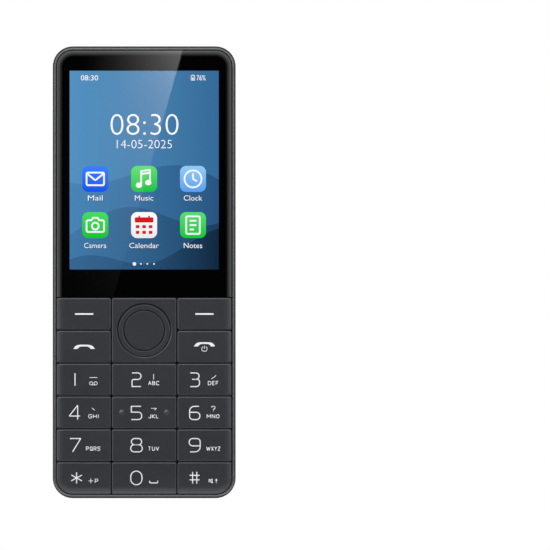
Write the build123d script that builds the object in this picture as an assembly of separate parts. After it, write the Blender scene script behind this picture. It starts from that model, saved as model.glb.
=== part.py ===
from build123d import *
import os

# Sizes are in millimetres. Seen from the front, +X is right and +Z is up; the front faces -Y.
# Depths are measured inward from the plane of the rim.

# Clearances shared by many pieces
overrun = 1.0
slide_clearance = 0.05
seat_clearance = 0.2
press_clearance = 0.05
front_facing_share = 0.3

# Display and the borders round its lit area
display_width = 42.7
display_height = 56.9
display_side_border = 4.85
display_chin = 8.04
display_forehead = 6.0

# Keypad grid, row by row from the top; the navigation panel fills the two free cells
key_rows = (
    ("left_soft_key", None, "right_soft_key"),
    ("call_key", None, "end_key"),
    ("key_1", "key_2", "key_3"),
    ("key_4", "key_5", "key_6"),
    ("key_7", "key_8", "key_9"),
    ("key_star", "key_0", "key_hash"),
)
nav_row_count = 2
row_pitch = 9.41
middle_column = 18.76
key_gap = 0.3

# Casing
side_wall = 1.0
back_wall = 1.0
corner_radius = 5.75
back_edge_radius = 2.2
rim_edge_radius = 0.85
rim_edge_limit_share = 0.9
cavity_edge_least = 0.2
rim_gap = 0.2
frame_fit = 0.1

# Cover glass, bonded to the frame with a ring of adhesive
glass_rise = 0.33
glass_thickness = 1.1
glass_curve_width = 1.7
glass_curve_drop = 0.3
glass_edge_radius = 0.1
adhesive_thickness = 0.2
adhesive_inset = 0.3

# Display module behind the glass
optical_gap = 0.1
panel_thickness = 0.8
panel_side_margin = 1.65
panel_top_margin = 1.6
panel_bottom_margin = 3.55
backlight_thickness = 1.1
backlight_inset = 0.3
pocket_radius = 0.8

# Front frame
frame_web = 0.55
keypad_plate = 0.4
keypad_bay_wall = 1.65
keypad_bay_radius = 3.0
keypad_bay_top_gap = 0.25
snap_length = 6.0
snap_reach = 0.4
snap_height = 0.8
snap_front_setback = 1.0
snap_clearance = 0.1
snap_shares = (0.3, 0.66)
rib_length = 1.5
rib_reach = 1.2
rib_shares = (0.16, 0.55, 0.93)

# Keys
key_rise = 0.55
key_thickness = 1.2
key_travel = 0.25
key_corner_radius = 0.5
key_edge_radius = 0.25
key_curve_width = 1.9
key_curve_drop = 0.25
nub_radius = 0.72
nub_height = 0.33
nub_offset = 6.4

# Silicone mat, snap domes and keypad board under the keys
window_margin = 2.2
window_radius = 0.8
pedestal_clearance = 0.3
mat_web = 0.3
mat_rib = 0.6
plunger_radius = 1.2
plunger_length = 0.3
dome_radius = 2.0
dome_height = 0.25
dome_sheet = 0.1
dome_gap = 0.05
board_thickness = 0.8

# Navigation ring, its rocker and the round key in the middle
nav_rise = 0.9
ring_radius = 7.45
ring_bore_radius = 5.9
ring_thickness = 1.35
ring_gap = 0.2
ring_edge_radius = 0.3
ok_radius = 5.7
ok_rise = 0.75
ok_thickness = 1.4
ok_edge_radius = 0.25
ok_stem_radius = 1.5
ok_stem_gap = 0.3
rocker_radius = 8.4
rocker_bore_radius = 6.3
rocker_thickness = 0.3
rocker_gap = 0.3
rocker_ring_gap = 0.4
trunnion_radius = 0.3
trunnion_length = 0.55
lug_radius = 0.35
lug_length = 1.2
pivot_clearance = 0.08

# Keypad board screws, at the crossings of the key gaps
keypad_screw_radius = 0.6
keypad_screw_head_radius = 1.1
keypad_screw_head = 0.55
keypad_screw_tip_gap = 0.15
keypad_column_radius = 1.5
keypad_screw_row_counts = (2, 4)
screw_clearance = 0.02

# Battery
battery_thickness = 4.0
battery_side_gap = 3.15
battery_height = 50.5
battery_radius = 1.5
battery_rise = 29.5
battery_tape_thickness = 0.15
battery_tape_inset = 3.0
flex_space = 0.48

# Main board and its screws
main_board_side_gap = 2.65
main_board_bottom_gap = 3.0
main_board_top_gap = 3.6
main_board_radius = 1.5
boss_inset = 2.4
boss_radius = 1.6
board_screw_radius = 0.7
board_screw_length = 2.6
board_screw_head_radius = 1.3
board_screw_head = 0.6

# Shield cans and the chips under them
shield_sheet = 0.2
shield_gap = 0.25
shield_inset = 5.0
shield_between = 1.5
shield_split_share = 0.62
chip_inset = 2.5
chip_height_share = 0.55

# SIM tray and socket
tray_drop = 23.9
tray_face_length = 19.1
tray_face_width = 2.4
tray_face_gap = 0.17
tray_thickness = 1.0
tray_length = 21.0
tray_width = 14.6
tray_end_margin = 0.8
card_length = 12.3
card_width = 8.8
card_clearance = 0.1
card_floor = 0.3
card_ledge = 1.2
card_front_margin = 1.2
card_between = 0.8
pin_hole_radius = 0.36
pin_end_distance = 1.6
socket_gap = 0.66
socket_sheet = 0.2
socket_side_gap = 0.1
socket_side_sheet = 0.3
socket_base = 0.32
socket_wall_gap = 0.75
socket_back_margin = 1.2

# Tray ejector: a rod beside the tray, a lever behind it and a bar that pushes the tray
rod_radius = 0.5
rod_tip_radius = 0.4
rod_wall_gap = 0.25
guide_length = 1.5
guide_wall = 0.55
guide_shares = (0.12, 0.8)
eject_gap = 0.1
bar_thickness = 0.7
bar_height = 0.8
bar_side_gap = 1.1
lever_half_width = 0.7
lever_rod_arm = 4.0
lever_rod_end = 0.6
lever_bar_arm = 5.5
lever_thickness = 0.8
lever_pin_radius = 0.4

# Charging port on the bottom edge
usb_width = 8.94
usb_height = 3.16
usb_sheet = 0.3
usb_length = 7.3
usb_inset = 0.1
usb_opening_gap = 0.18
tongue_width = 6.69
tongue_thickness = 0.7
tongue_mouth_gap = 0.9
tongue_root = 1.7

# Sound openings and the parts behind them
sound_hole_radius = 0.5
sound_hole_pitch = 1.6
sound_hole_count = 6
mesh_thickness = 0.1
mesh_margin = 0.5
speaker_port_gap = 3.03
speaker_wall_gap = 2.9
speaker_bottom_gap = 1.0
speaker_height = 11.0
speaker_thickness = 3.3
speaker_radius = 1.0
speaker_snout_gap = 0.3
earpiece_width = 12.0
earpiece_height = 6.0
earpiece_thickness = 2.0
earpiece_radius = 1.2
earpiece_top_gap = 1.5
earpiece_hole_radius = 0.4
earpiece_hole_pitch = 1.5
earpiece_hole_count = 5
earpiece_outlet = 1.1
microphone_port_gap = 4.78
microphone_width = 3.5
microphone_height = 2.65
microphone_thickness = 1.0
microphone_boot_wall = 0.6

# Vibration motor
motor_wall_gap = 2.9
motor_drop = 17.0
motor_radius = 4.0
motor_thickness = 2.7
motor_sheet = 0.2
motor_shaft_radius = 0.4
weight_clearance = 0.25
weight_bore_clearance = 0.05
weight_hub_radius = 1.0

# Flexible circuits and antenna
flex_thickness = 0.12
flex_bend = 0.25
flex_seat_gap = 0.14
display_flex_width = 12.0
display_flex_lead = 1.4
display_flex_slot = 0.6
keypad_flex_width = 8.0
keypad_flex_side_gap = 5.4
flex_between = 2.0
keypad_flex_lead = 6.0
keypad_flex_ramp = 0.8
battery_lead_width = 8.0
battery_lead_side_gap = 4.0
battery_lead_lead = 1.2
flex_landing = 4.0
antenna_side_gap = 7.15
antenna_height = 6.0
antenna_thickness = 0.15
antenna_top_gap = 2.0
antenna_slit = 1.0
antenna_slit_share = 0.8

# Sizes that follow from the values above
opening_width = display_width + 2 * (display_side_border - side_wall)
keypad_height = len(key_rows) * row_pitch
opening_height = keypad_height + display_chin + display_height + display_forehead
body_width = opening_width + 2 * side_wall
body_height = opening_height + 2 * side_wall
opening_radius = corner_radius - side_wall
cavity_edge_radius = max(back_edge_radius - back_wall, cavity_edge_least)
keypad_bottom = side_wall
keypad_top = keypad_bottom + keypad_height
display_bottom = keypad_top + display_chin
display_top = display_bottom + display_height

# Depths of the display stack
glass_back = glass_thickness - glass_rise
frame_front = glass_back + adhesive_thickness
panel_front = glass_back + optical_gap
panel_back = panel_front + panel_thickness
backlight_back = panel_back + backlight_thickness
pocket_back = backlight_back + slide_clearance
frame_back = pocket_back + frame_web

# Depths of the keypad stack
key_back = key_thickness - key_rise
plate_front = key_back + key_travel + 2 * press_clearance
plate_back = plate_front + keypad_plate
mat_front = key_back + key_travel + press_clearance
mat_web_back = plate_back + mat_web
plunger_back = mat_web_back + plunger_length
dome_front = plunger_back + dome_gap
keypad_board_front = dome_front + dome_height
keypad_board_back = keypad_board_front + board_thickness

# Depths of the navigation ring and its rocker
ring_back = ring_thickness - nav_rise
rocker_front = ring_back + rocker_gap
rocker_back = rocker_front + rocker_thickness
rocker_axis_depth = (rocker_front + rocker_back) / 2
ring_axis_depth = (ring_back + rocker_front) / 2
rocker_well_radius = rocker_radius + rocker_ring_gap

# Depths of the battery and of the whole body
battery_front = frame_back + flex_space
battery_back = battery_front + battery_thickness
cavity_back = battery_back + battery_tape_thickness
body_depth = cavity_back + back_wall
overall_depth = body_depth + nav_rise
rim_y = overall_depth / 2 - body_depth

# Depths of the SIM socket and the main board
cover_front = frame_back + socket_gap
cover_back = cover_front + socket_sheet
tray_front = cover_back + slide_clearance
tray_back = tray_front + tray_thickness
tray_depth = (tray_front + tray_back) / 2
socket_base_front = tray_back + slide_clearance
main_front = socket_base_front + socket_base
main_back = main_front + board_thickness
shield_back = cavity_back - shield_gap

# Places along the height
battery_bottom = side_wall + battery_rise
battery_top = battery_bottom + battery_height
main_bottom = battery_top + main_board_bottom_gap
main_top = body_height - side_wall - main_board_top_gap
main_width = opening_width - 2 * main_board_side_gap
tray_z = body_height - tray_drop
tray_face_bottom = tray_z - tray_face_length / 2
tray_bottom = tray_face_bottom + tray_end_margin
tray_top = tray_bottom + tray_width
rod_z = tray_z + tray_face_length / 2 - pin_end_distance
bay_bottom = side_wall + frame_fit + keypad_bay_wall
bay_top = keypad_top + keypad_bay_top_gap
bay_width = opening_width - 2 * (frame_fit + keypad_bay_wall)
port_depth = keypad_board_back + usb_height / 2
motor_z = battery_bottom - motor_drop
earpiece_top = body_height - side_wall - earpiece_top_gap
earpiece_depth = frame_back + earpiece_outlet

# Places across the width, on the SIM tray's side
wall_inside_x = -opening_width / 2
tray_end_x = wall_inside_x + tray_length
bar_front_x = tray_end_x + eject_gap
bar_back_x = bar_front_x + bar_thickness
lever_x = bar_back_x + eject_gap + lever_half_width
lever_z = rod_z - lever_rod_arm
socket_start_x = wall_inside_x + socket_wall_gap
socket_end_x = lever_x + lever_half_width + socket_back_margin

# Widths and places that follow the casing's inside or the port
battery_width = opening_width - 2 * battery_side_gap
battery_lead_x = -(battery_width / 2 - battery_lead_side_gap - battery_lead_width / 2)
keypad_flex_x = bay_width / 2 - keypad_flex_side_gap - keypad_flex_width / 2
display_flex_x = keypad_flex_x - keypad_flex_width / 2 - flex_between - display_flex_width / 2
speaker_left = usb_width / 2 + speaker_port_gap
speaker_right = bay_width / 2 - speaker_wall_gap
microphone_x = -(usb_width / 2 + microphone_port_gap + microphone_width / 2)
motor_x = -(bay_width / 2 - motor_wall_gap - motor_radius)
antenna_width = opening_width - 2 * antenna_side_gap

# Column and row of each key
keys = {
    name: (column, row)
    for row, names in enumerate(key_rows)
    for column, name in enumerate(names)
    if name
}
nav_z = keypad_top - nav_row_count * row_pitch / 2
column_lines = (-middle_column / 2, middle_column / 2)


def front_plane(depth):
    """Drawing plane seen from the front, at a depth behind the rim."""
    return Plane(origin=(0, rim_y + depth, 0), x_dir=(1, 0, 0), z_dir=(0, -1, 0))


def slab(outline, front, back):
    """An outline drawn from the front, made solid between two depths."""
    return extrude(front_plane(back) * outline, back - front)


def box(x0, x1, front, back, z0, z1):
    """A plain block between two places on each axis."""
    return slab(Pos((x0 + x1) / 2, (z0 + z1) / 2) * Rectangle(x1 - x0, z1 - z0), front, back)


def disc(x, z, radius, front, back):
    """A round solid whose axis runs front to back."""
    return slab(Pos(x, z) * Circle(radius), front, back)


def bar_x(x0, x1, depth, z, radius):
    """A round bar along the width."""
    place = Pos(x0, rim_y + depth, z) * Rot(0, 90, 0)
    return place * Cylinder(radius, x1 - x0, align=(Align.CENTER, Align.CENTER, Align.MIN))


def bar_z(x, depth, z0, z1, radius):
    """A round bar along the height."""
    place = Pos(x, rim_y + depth, z0)
    return place * Cylinder(radius, z1 - z0, align=(Align.CENTER, Align.CENTER, Align.MIN))


def slot_z(width, height, depth, z0, z1):
    """A round-ended solid along the height, drawn from below."""
    return Pos(0, rim_y + depth, z0) * extrude(SlotOverall(width, height), z1 - z0)


def slot_x(length, width, depth, z, x0, x1):
    """A round-ended solid along the width, drawn from the side."""
    plane = Plane(origin=(x0, rim_y + depth, z), x_dir=(0, 1, 0), z_dir=(1, 0, 0))
    return extrude(plane * SlotOverall(length, width, rotation=90), x1 - x0)


def opening(inset):
    """Outline of the casing's opening, drawn in by an inset."""
    width = opening_width - 2 * inset
    height = opening_height - 2 * inset
    return Pos(0, body_height / 2) * RectangleRounded(width, height, opening_radius - inset)


def upper_part(outline, bottom):
    """The part of an outline above a height."""
    height = body_height + overrun - bottom
    return outline & Pos(0, bottom + height / 2) * Rectangle(body_width, height)


def lower_part(outline, top):
    """The part of an outline below a height."""
    return outline & Pos(0, (top - overrun) / 2) * Rectangle(body_width, top + overrun)


def cell(column, row):
    """Left, right, bottom and top of one cell of the keypad grid."""
    lefts = (-opening_width / 2, column_lines[0], column_lines[1], opening_width / 2)
    top = keypad_top - row * row_pitch
    return lefts[column], lefts[column + 1], top - row_pitch, top


def cell_centre(column, row):
    """Middle of one cell."""
    x0, x1, z0, z1 = cell(column, row)
    return (x0 + x1) / 2, (z0 + z1) / 2


def cell_outline(column, row, inset, radius):
    """Rounded outline inside one cell."""
    x0, x1, z0, z1 = cell(column, row)
    outline = RectangleRounded(x1 - x0 - 2 * inset, z1 - z0 - 2 * inset, radius)
    return Pos(*cell_centre(column, row)) * outline


def pillow(rise, width, drop):
    """Block that fills the opening, whose front edge falls away in a shallow arc."""
    radius = (width**2 + drop**2) / (2 * drop)
    block = slab(opening(rim_gap + width - radius), -rise, radius + overrun)
    return fillet(block.edges().group_by(Axis.Y)[0], radius)


def front_rim(solid):
    """Edges round the faces that look to the front, without the joins between those faces."""
    front_faces = [f for f in solid.faces() if f.normal_at().Y < -front_facing_share]
    edges = [e for f in front_faces for e in f.edges()]
    return ShapeList([e for e in edges if sum(e.is_same(other) for other in edges) == 1])


def cap(x, z, radius, height, front):
    """A shallow round cap that bulges to the front."""
    ball_radius = (radius**2 + height**2) / (2 * height)
    ball = Pos(x, rim_y + front + ball_radius, z) * Sphere(ball_radius)
    return ball & disc(x, z, radius + overrun, front - overrun, front + height)


def ribbon(points, x, width):
    """A flat flexible circuit along points given as (height, depth)."""
    path = FilletPolyline(*[(x, rim_y + depth, z) for z, depth in points], radius=flex_bend)
    start = Plane(origin=path @ 0, x_dir=(1, 0, 0), z_dir=path % 0)
    return sweep(start * Rectangle(width, flex_thickness), path=path)


def panel_outline(margin):
    """Outline of the display panel, grown by a margin."""
    width = display_width + 2 * (panel_side_margin + margin)
    bottom = display_bottom - panel_bottom_margin - margin
    top = display_top + panel_top_margin + margin
    return Pos(0, (bottom + top) / 2) * RectangleRounded(width, top - bottom, pocket_radius)


def bay_outline(inset):
    """Outline of the keypad bay behind the frame's plate, drawn in by an inset."""
    height = bay_top - bay_bottom - 2 * inset
    outline = RectangleRounded(bay_width - 2 * inset, height, keypad_bay_radius - inset)
    return Pos(0, (bay_bottom + bay_top) / 2) * outline


def row_places(centre, pitch, count):
    """Places of a row of holes about a centre."""
    start = centre - (count - 1) * pitch / 2
    return [start + index * pitch for index in range(count)]


def snap_boxes(clearance):
    """Snap tabs on both sides of the frame, or the recesses for them."""
    front = frame_front + snap_front_setback - clearance
    back = frame_front + snap_front_setback + snap_height + clearance
    half_length = snap_length / 2 + clearance
    inside = opening_width / 2 - keypad_bay_wall / 2
    outside = opening_width / 2 + snap_reach + clearance
    boxes = []
    for share in snap_shares:
        z = share * body_height
        boxes.append(box(inside, outside, front, back, z - half_length, z + half_length))
        boxes.append(box(-outside, -inside, front, back, z - half_length, z + half_length))
    return boxes


def rib_boxes():
    """Ribs inside the side walls that the frame rests on."""
    inside = opening_width / 2 - rib_reach
    outside = opening_width / 2 + side_wall / 2
    boxes = []
    for share in rib_shares:
        z0 = share * body_height - rib_length / 2
        boxes.append(box(inside, outside, frame_back, body_depth, z0, z0 + rib_length))
        boxes.append(box(-outside, -inside, frame_back, body_depth, z0, z0 + rib_length))
    return boxes


def speaker_holes():
    return row_places((speaker_left + speaker_right) / 2, sound_hole_pitch, sound_hole_count)


def earpiece_holes():
    return row_places(0, earpiece_hole_pitch, earpiece_hole_count)


def make_rear_shell():
    """Back, side walls and rim in one tub, with the slots and sound holes in its walls."""
    outline = Pos(0, body_height / 2) * RectangleRounded(body_width, body_height, corner_radius)
    block = slab(outline, 0, body_depth)
    block = fillet(block.edges().group_by(Axis.Y)[-1], back_edge_radius)
    rim_radius = min(rim_edge_radius, side_wall * rim_edge_limit_share)
    block = fillet(block.edges().group_by(Axis.Y)[0], rim_radius)
    cavity = slab(opening(0), -overrun, cavity_back)
    cavity = fillet(cavity.edges().group_by(Axis.Y)[-1], cavity_edge_radius)
    shell = block - cavity
    for rib in rib_boxes():
        shell += rib & block
    for recess in snap_boxes(snap_clearance):
        shell -= recess & slab(opening(-snap_reach - snap_clearance), 0, body_depth)
    slot_start = -body_width / 2 - overrun
    slot_end = wall_inside_x + overrun
    shell -= slot_x(tray_face_length, tray_face_width, tray_depth, tray_z, slot_start, slot_end)
    port_width = usb_width + 2 * usb_opening_gap
    port_height = usb_height + 2 * usb_opening_gap
    shell -= slot_z(port_width, port_height, port_depth, -overrun, side_wall + overrun)
    for x in speaker_holes() + [microphone_x]:
        shell -= bar_z(x, port_depth, -overrun, side_wall + overrun, sound_hole_radius)
    for x in earpiece_holes():
        top_wall = body_height - side_wall
        shell -= bar_z(x, earpiece_depth, top_wall - overrun, body_height + overrun, earpiece_hole_radius)
    return shell


def keypad_screw_places():
    heights = [keypad_bottom + row * row_pitch for row in keypad_screw_row_counts]
    return [(x, z) for x in column_lines for z in heights]


def board_screw_places():
    side = main_width / 2 - boss_inset
    return [(x, z) for x in (-side, side) for z in (main_bottom + boss_inset, main_top - boss_inset)]


def trunnion_bores():
    """Bores for the rocker's trunnions, half in the surround and half in the frame's plate."""
    reach = rocker_radius + trunnion_length + pivot_clearance
    return bar_x(-reach, reach, rocker_axis_depth, nav_z, trunnion_radius + pivot_clearance)


def make_front_frame():
    """Inner chassis: display pocket above, pierced keypad plate below, bosses on its back."""
    outline = opening(frame_fit)
    frame = slab(upper_part(outline, keypad_top), frame_front, frame_back)
    frame += slab(lower_part(outline, keypad_top), plate_front, frame_back)
    frame -= slab(panel_outline(seat_clearance), frame_front - overrun, pocket_back)
    frame -= slab(bay_outline(0), plate_back, frame_back + overrun)
    for column, row in keys.values():
        window = cell_outline(column, row, window_margin, window_radius)
        frame -= slab(window, plate_front - overrun, plate_back + overrun)
    frame -= disc(0, nav_z, rocker_well_radius, plate_front - overrun, plate_back + overrun)
    frame -= trunnion_bores()
    port_half = usb_width / 2 + usb_opening_gap
    port_front = keypad_board_back - seat_clearance
    frame -= box(-port_half, port_half, port_front, frame_back + overrun, 0, bay_bottom + overrun)
    slot_half = display_flex_width / 2 + seat_clearance
    slot_top = display_bottom - panel_bottom_margin
    slot_bottom = slot_top - display_flex_lead - display_flex_slot
    frame -= box(
        display_flex_x - slot_half,
        display_flex_x + slot_half,
        frame_front - overrun,
        frame_back + overrun,
        slot_bottom,
        slot_top,
    )
    bore_front = plate_front + keypad_screw_tip_gap - slide_clearance
    for x, z in keypad_screw_places():
        frame += disc(x, z, keypad_column_radius, plate_back, keypad_board_front)
        frame -= disc(x, z, keypad_screw_radius + screw_clearance, bore_front, keypad_board_front + overrun)
    bore_front = main_back - board_screw_length - slide_clearance
    for x, z in board_screw_places():
        frame += disc(x, z, boss_radius, frame_back, main_front)
        frame -= disc(x, z, board_screw_radius + screw_clearance, bore_front, main_front + overrun)
    for tab in snap_boxes(0):
        frame += tab & slab(opening(-snap_reach), 0, body_depth)
    return frame


def make_cover_glass():
    """Touch lens with a shallow curved edge at the casing's rim."""
    plan = upper_part(opening(rim_gap), keypad_top + key_gap / 2)
    lens = slab(plan, -glass_rise, glass_back) & pillow(glass_rise, glass_curve_width, glass_curve_drop)
    return fillet(front_rim(lens), glass_edge_radius)


def make_screen_adhesive():
    """Ring of adhesive between the glass and the frame."""
    plan = upper_part(opening(rim_gap + adhesive_inset), keypad_top + key_gap / 2 + adhesive_inset)
    return slab(plan - panel_outline(seat_clearance), glass_back, frame_front)


def make_lcd_panel():
    return slab(panel_outline(0), panel_front, panel_back)


def make_backlight():
    return slab(panel_outline(-backlight_inset), panel_back, backlight_back)


def make_key(column, row):
    """One keycap; the keys at the casing's edge share its rounded outline and shallow curve."""
    plan = cell_outline(column, row, key_gap / 2, key_corner_radius) & opening(rim_gap)
    key = slab(plan, -key_rise, key_back) & pillow(key_rise, key_curve_width, key_curve_drop)
    return fillet(front_rim(key), key_edge_radius)


def add_nubs(key, column, row):
    """Two raised nubs for finding the middle key by touch."""
    x, z = cell_centre(column, row)
    for side in (-1, 1):
        key += cap(x + side * nub_offset, z, nub_radius, nub_height, -key_rise - nub_height)
    return key


def make_nav_surround():
    """Fixed square panel round the navigation ring, seated on the frame's plate."""
    plan = RectangleRounded(middle_column - key_gap, nav_row_count * row_pitch - key_gap, key_corner_radius)
    panel = slab(Pos(0, nav_z) * plan, -key_rise, plate_front)
    panel -= disc(0, nav_z, ring_radius + ring_gap, -key_rise - overrun, plate_front + overrun)
    panel = fillet(front_rim(panel), key_edge_radius)
    panel -= disc(0, nav_z, rocker_well_radius, ring_back, plate_front + overrun)
    return panel - trunnion_bores()


def make_nav_ring():
    """Four-way ring, grooved underneath for the rocker's two lugs."""
    ring = disc(0, nav_z, ring_radius, -nav_rise, ring_back)
    ring -= disc(0, nav_z, ring_bore_radius, -nav_rise - overrun, ring_back + overrun)
    ring = fillet(front_rim(ring), ring_edge_radius)
    reach = ring_radius + overrun
    return ring - bar_z(0, ring_axis_depth, nav_z - reach, nav_z + reach, lug_radius + pivot_clearance)


def make_nav_rocker():
    """Flange under the ring, with trunnions across and lugs up and down for the two tilts."""
    rocker = disc(0, nav_z, rocker_radius, rocker_front, rocker_back)
    rocker -= disc(0, nav_z, rocker_bore_radius, rocker_front - overrun, rocker_back + overrun)
    lug_centre = (ring_radius + ring_bore_radius) / 2
    trunnion_root = ring_radius + ring_gap
    trunnion_end = rocker_radius + trunnion_length
    for side in (-1, 1):
        lug_z = nav_z + side * lug_centre
        rocker += bar_z(0, ring_axis_depth, lug_z - lug_length / 2, lug_z + lug_length / 2, lug_radius)
        x0 = min(side * trunnion_root, side * trunnion_end)
        rocker += bar_x(x0, x0 + trunnion_end - trunnion_root, rocker_axis_depth, nav_z, trunnion_radius)
    return rocker


def make_ok_key():
    """Round key in the ring, on a stem over its dome."""
    key = disc(0, nav_z, ok_radius, -ok_rise, ok_thickness - ok_rise)
    key = fillet(front_rim(key), ok_edge_radius)
    return key + disc(0, nav_z, ok_stem_radius, ok_thickness - ok_rise, plate_back - ok_stem_gap)


def dome_places():
    """Places of the domes: one under each key, four under the ring and one in its middle."""
    ring_middle = (ring_radius + ring_bore_radius) / 2
    nav = [(0, 0), (ring_middle, 0), (-ring_middle, 0), (0, ring_middle), (0, -ring_middle)]
    return [cell_centre(*place) for place in keys.values()] + [(x, nav_z + z) for x, z in nav]


def make_keypad_mat():
    """Silicone mat: a web with a pedestal under each key, plungers behind and a rib round it."""
    mat = slab(bay_outline(seat_clearance), plate_back, mat_web_back)
    rib = bay_outline(seat_clearance) - bay_outline(seat_clearance + mat_rib)
    mat += slab(rib, mat_web_back, keypad_board_front)
    for column, row in keys.values():
        pedestal = cell_outline(column, row, window_margin + pedestal_clearance, window_radius)
        mat += slab(pedestal, mat_front, plate_back)
    for x, z in dome_places():
        mat += disc(x, z, plunger_radius, mat_web_back, plunger_back)
    for x, z in keypad_screw_places():
        hole_radius = keypad_column_radius + pedestal_clearance
        mat -= disc(x, z, hole_radius, mat_front - overrun, keypad_board_front + overrun)
    return mat


def make_snap_domes():
    """Thin metal domes on the keypad board."""
    domes = []
    for x, z in dome_places():
        dome = cap(x, z, dome_radius, dome_height, dome_front)
        hollow = cap(x, z, dome_radius - dome_sheet, dome_height - dome_sheet, dome_front + dome_sheet)
        domes.append(dome - hollow)
    return Compound(children=domes)


def make_keypad_board():
    board = slab(bay_outline(seat_clearance), keypad_board_front, keypad_board_back)
    for x, z in keypad_screw_places():
        hole_radius = keypad_screw_radius + slide_clearance
        board -= disc(x, z, hole_radius, keypad_board_front - overrun, keypad_board_back + overrun)
    return board


def make_keypad_screws():
    screws = []
    for x, z in keypad_screw_places():
        screw = disc(x, z, keypad_screw_radius, plate_front + keypad_screw_tip_gap, keypad_board_back)
        head_back = keypad_board_back + keypad_screw_head
        screws.append(screw + disc(x, z, keypad_screw_head_radius, keypad_board_back, head_back))
    return Compound(children=screws)


def make_main_board():
    plan = RectangleRounded(main_width, main_top - main_bottom, main_board_radius)
    board = slab(Pos(0, (main_bottom + main_top) / 2) * plan, main_front, main_back)
    for x, z in board_screw_places():
        board -= disc(x, z, board_screw_radius + slide_clearance, main_front - overrun, main_back + overrun)
    return board


def make_board_screws():
    screws = []
    for x, z in board_screw_places():
        screw = disc(x, z, board_screw_radius, main_back - board_screw_length, main_back)
        screws.append(screw + disc(x, z, board_screw_head_radius, main_back, main_back + board_screw_head))
    return Compound(children=screws)


def shield_spans():
    """Left, right, bottom and top of the two shield cans."""
    left = -main_width / 2 + shield_inset
    right = main_width / 2 - shield_inset
    split = left + (right - left) * shield_split_share
    bottom = main_bottom + shield_inset
    top = main_top - shield_inset
    return [
        (left, split - shield_between / 2, bottom, top),
        (split + shield_between / 2, right, bottom, top),
    ]


def make_shield_cans():
    cans = []
    for x0, x1, z0, z1 in shield_spans():
        can = box(x0, x1, main_back, shield_back, z0, z1)
        can -= box(
            x0 + shield_sheet,
            x1 - shield_sheet,
            main_back - overrun,
            shield_back - shield_sheet,
            z0 + shield_sheet,
            z1 - shield_sheet,
        )
        cans.append(can)
    return Compound(children=cans)


def make_board_chips():
    chip_back = main_back + chip_height_share * (shield_back - main_back)
    chips = []
    for x0, x1, z0, z1 in shield_spans():
        x0, x1, z0, z1 = x0 + chip_inset, x1 - chip_inset, z0 + chip_inset, z1 - chip_inset
        middle = (z0 + z1) / 2
        chips.append(box(x0, x1, main_back, chip_back, z0, middle - chip_inset / 2))
        chips.append(box(x0, x1, main_back, chip_back, middle + chip_inset / 2, z1))
    return Compound(children=chips)


def make_sim_tray():
    """Card tray: a face flush with the wall and a plate with two card pockets."""
    tray = slot_x(
        tray_face_length - 2 * tray_face_gap,
        tray_face_width - 2 * tray_face_gap,
        tray_depth,
        tray_z,
        -body_width / 2,
        wall_inside_x,
    )
    tray += box(wall_inside_x, tray_end_x, tray_front, tray_back, tray_bottom, tray_top)
    tray_middle = (tray_bottom + tray_top) / 2
    pocket_width = card_width + 2 * card_clearance
    pocket_half = card_length / 2 + card_clearance
    for index in range(2):
        x0 = wall_inside_x + card_front_margin + index * (pocket_width + card_between)
        x1 = x0 + pocket_width
        z0 = tray_middle - pocket_half
        z1 = tray_middle + pocket_half
        tray -= box(x0, x1, tray_front + card_floor, tray_back + overrun, z0, z1)
        x0, x1, z0, z1 = x0 + card_ledge, x1 - card_ledge, z0 + card_ledge, z1 - card_ledge
        tray -= box(x0, x1, tray_front - overrun, tray_back + overrun, z0, z1)
    hole_end = wall_inside_x + overrun
    return tray - bar_x(-body_width / 2 - overrun, hole_end, tray_depth, rod_z, pin_hole_radius)


def make_sim_socket():
    """Socket base on the main board, with the rod's guides and the lever's pin."""
    bottom = tray_bottom - socket_side_gap - socket_side_sheet
    top = rod_z + rod_radius + guide_wall
    socket = box(socket_start_x, socket_end_x, socket_base_front, main_front, bottom, top)
    guide_front = tray_depth - rod_radius - guide_wall
    for share in guide_shares:
        x = socket_start_x + share * (tray_end_x - socket_start_x)
        guide_bottom = rod_z - rod_radius - guide_wall
        guide = box(x, x + guide_length, guide_front, main_front, guide_bottom, top)
        bore_end = x + guide_length + overrun
        socket += guide - bar_x(x - overrun, bore_end, tray_depth, rod_z, rod_radius + slide_clearance)
    return socket + disc(lever_x, lever_z, lever_pin_radius, tray_front, main_front)


def make_sim_cover():
    """Sheet cover over the tray, with two side walls down to the socket's base."""
    bottom = tray_bottom - socket_side_gap - socket_side_sheet
    top = tray_top + socket_side_gap + socket_side_sheet
    cover = box(socket_start_x, socket_end_x, cover_front, cover_back, bottom, top)
    for z in (bottom, top - socket_side_sheet):
        cover += box(socket_start_x, tray_end_x, cover_front, socket_base_front, z, z + socket_side_sheet)
    return cover


def make_eject_rod():
    """Rod between the pin hole and the lever, with a round tip that rolls on the lever's face."""
    end = lever_x - lever_half_width - eject_gap
    rod = bar_x(wall_inside_x + rod_wall_gap, end, tray_depth, rod_z, rod_radius)
    return fillet(rod.edges().sort_by(Axis.X)[-1], rod_tip_radius)


def make_eject_lever():
    """Lever behind the tray: the rod pushes one arm, the other arm pushes the bar."""
    bottom = lever_z - lever_bar_arm
    top = rod_z + lever_rod_end
    front = tray_depth - lever_thickness / 2
    back = tray_depth + lever_thickness / 2
    lever = box(lever_x - lever_half_width, lever_x + lever_half_width, front, back, bottom, top)
    bore_radius = lever_pin_radius + slide_clearance
    return lever - disc(lever_x, lever_z, bore_radius, front - overrun, back + overrun)


def make_eject_bar():
    bottom = tray_bottom + bar_side_gap
    top = tray_top - bar_side_gap
    half_height = bar_height / 2
    return box(bar_front_x, bar_back_x, tray_depth - half_height, tray_depth + half_height, bottom, top)


def make_battery():
    plan = RectangleRounded(battery_width, battery_height, battery_radius)
    return slab(Pos(0, battery_bottom + battery_height / 2) * plan, battery_front, battery_back)


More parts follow.
